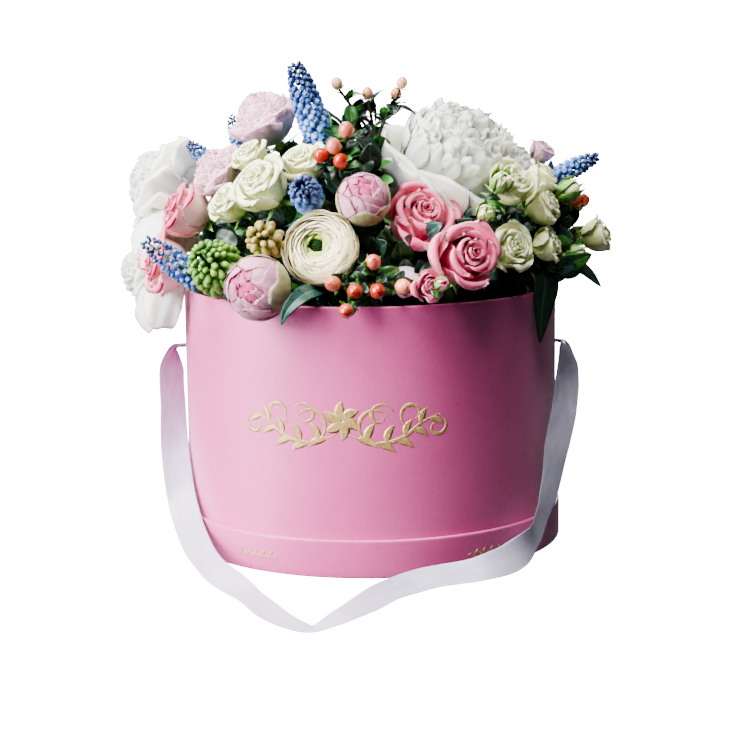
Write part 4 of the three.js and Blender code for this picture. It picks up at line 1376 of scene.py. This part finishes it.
def make_ribbon():
    """The ribbon, gathered into pleats where it enters the holes, and its two knots."""
    middles = smooth_line([middle for middle, _ in RIBBON])
    sides = units(np.array([side for _, side in RIBBON], float))
    spans = len(RIBBON) - 1
    t = np.linspace(0, 1, RIBBON_ROWS)
    middle = middles(t) * MM
    ahead = units(np.gradient(middle, axis=0))
    side = np.stack([np.interp(t * spans, np.arange(spans + 1), sides[:, k]) for k in range(3)], -1)
    face = units(np.cross(ahead, side))
    side = np.cross(face, ahead)
    fullness = smoothstep(np.minimum(t, 1 - t) * spans, 1.4, 3.2)
    width = blend(GATHERED_WIDTH, RIBBON_WIDTH, fullness)
    across = np.linspace(-1, 1, RIBBON_COLUMNS)
    gathers = PLEAT_DEPTH * (1 - fullness[:, None]) ** 0.8 * np.sin(across * PLEATS * pi)
    run = np.concatenate([[0], np.cumsum(norm(np.diff(middle, axis=0), axis=1))])
    soft = RIBBON_WAVE * fullness[:, None] * (np.sin(run[:, None] / (19 * MM) + 1.3 * across)
        + 0.6 * np.sin(run[:, None] / (7.5 * MM)))
    cup = RIBBON_CUP * fullness[:, None] * across ** 2
    lift = gathers + soft + cup
    grid = (middle[:, None, :] + side[:, None, :] * (width[:, None] / 2 * across)[..., None]
        + face[:, None, :] * lift[..., None])
    growth = Growth(default_rng(3))
    growth.sheet(grid, SATIN, RIBBON_THICKNESS)
    ribbon = planted(growth, "ribbon_handle_satin", SATIN, "ribbon_handle", body="handle")

    for node in ("ribbon_knot_left", "ribbon_knot_right"):
        low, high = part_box(node)
        centre = np.array((low + high) / 2)
        knot = seeded(node)
        a = np.linspace(0, 2 * pi, 90)
        trefoil = np.stack([np.cos(3 * a) * 0.9, np.sin(a) + 2 * np.sin(2 * a),
            np.cos(a) - 2 * np.cos(2 * a)], -1) * KNOT_SIZE
        knot.tube(centre + trefoil, KNOT_CORD * (1 + 0.12 * np.sin(9 * a)), SATIN, 10)
        planted(knot, node + "_satin", SATIN, node, body="handle")


# ---- Stage, light and camera ----

STAGE_HEIGHT = -0.3 * MM                       # just under the lid
STAGE_THICKNESS = 0.01 * MM


def stage_piece(name, profile, finish):
    """A surface of revolution about the object's axis, lit from within, that throws no light."""
    line = by_length(profile)(np.linspace(0, 1, 40))
    turn = np.linspace(0, 2 * pi, 97)
    growth = Growth(default_rng(1))
    growth.sheet(around(line[:, :1], turn, line[:, 1:]), finish.material, STAGE_THICKNESS)
    piece = growth.piece(name)
    piece.location.z = STAGE_HEIGHT
    piece.visible_diffuse = False
    piece.visible_glossy = False
    return piece


def make_stage():
    """A pale floor and the round backdrop that it runs up into."""
    finish = Finish("studio_floor", Roughness=0.9, Emission_Color="#ffffff", Emission_Strength=12.0)
    tone = finish.tint("#f4f3f2", "#f8f7f6", finish.noise(3.0), 0.3, 0.7)
    finish.feed(finish.shader.inputs["Base Color"], tone)
    stage_piece("studio_floor", [(0.01, 0), (1.0, 0), (2.0, 0), (3.2, 0)], finish)
    curve = [(3.2, 0), (3.7, 0.12), (4.1, 0.55), (4.2, 1.3), (4.2, 5.0)]
    backdrop = stage_piece("studio_backdrop", curve, finish)
    backdrop.visible_shadow = False


def make_light(name, place, target, size, power, tint):
    data = bpy.data.lights.new(name, "AREA")
    data.shape = "RECTANGLE"
    data.size, data.size_y = size
    data.energy = power
    data.color = tint
    light = placed(name, data)
    light.location = place
    light.rotation_euler = (Vector(target) - Vector(place)).to_track_quat("-Z", "Y").to_euler()


def make_studio():
    world = bpy.data.worlds.new("studio")
    bpy.context.scene.world = world
    world.use_nodes = True
    sky = world.node_tree.nodes["Background"]
    sky.inputs["Color"].default_value = (0.92, 0.95, 1.0, 1)
    sky.inputs["Strength"].default_value = 0.12
    make_light("window_left", (-2.2, -1.15, 1.45), (0, 0, 0.16), (1.7, 1.7), 235, (1, 0.98, 0.97))
    make_light("wash_left", (-2.2, -0.75, 0.35), (0, 0, 0.1), (1.3, 1.3), 75, (0.93, 0.93, 1))
    make_light("overhead", (-0.25, -0.5, 1.9), (0, 0, 0.25), (1.2, 1.2), 75, (1, 1, 0.97))
    make_light("back_fill", (-0.3, 2.4, 1.2), (0, 0, 0.16), (1.6, 1.6), 90, (1, 1, 1))
    bpy.context.scene.view_settings.view_transform = "AgX"
    bpy.context.scene.view_settings.look = "AgX - Medium High Contrast"


def make_camera():
    data = bpy.data.cameras.new("camera")
    data.sensor_width = 36
    data.lens = 95.76
    camera = placed("camera", data)
    pitch, roll, yaw = radians(9.78), radians(0.7), radians(0.115)
    facing = Euler((pi / 2 - pitch, 0, -yaw), "XYZ").to_matrix()
    camera.rotation_euler = (facing @ Matrix.Rotation(-roll, 3, "Z")).to_euler()
    camera.location = (0, -1.388, 0.351)
    bpy.context.scene.camera = camera


make_box()
make_lid()
make_pot()
make_boards()
make_flourish()
make_lid_sprays()
make_ribbon()
for kind, finish, flowers in SINGLES:
    for node, size in flowers:
        plant_single(kind, finish, node, size)
for spike in SPIKES:
    plant_spike(*spike)
for branch in BRANCHES:
    plant_branch(*branch)
for leaf in LEAVES:
    plant_leaf(*leaf)
for petal in LOOSE_PETALS:
    plant_loose_petal(*petal)
plant_foliage()
make_stage()
make_studio()
make_camera()
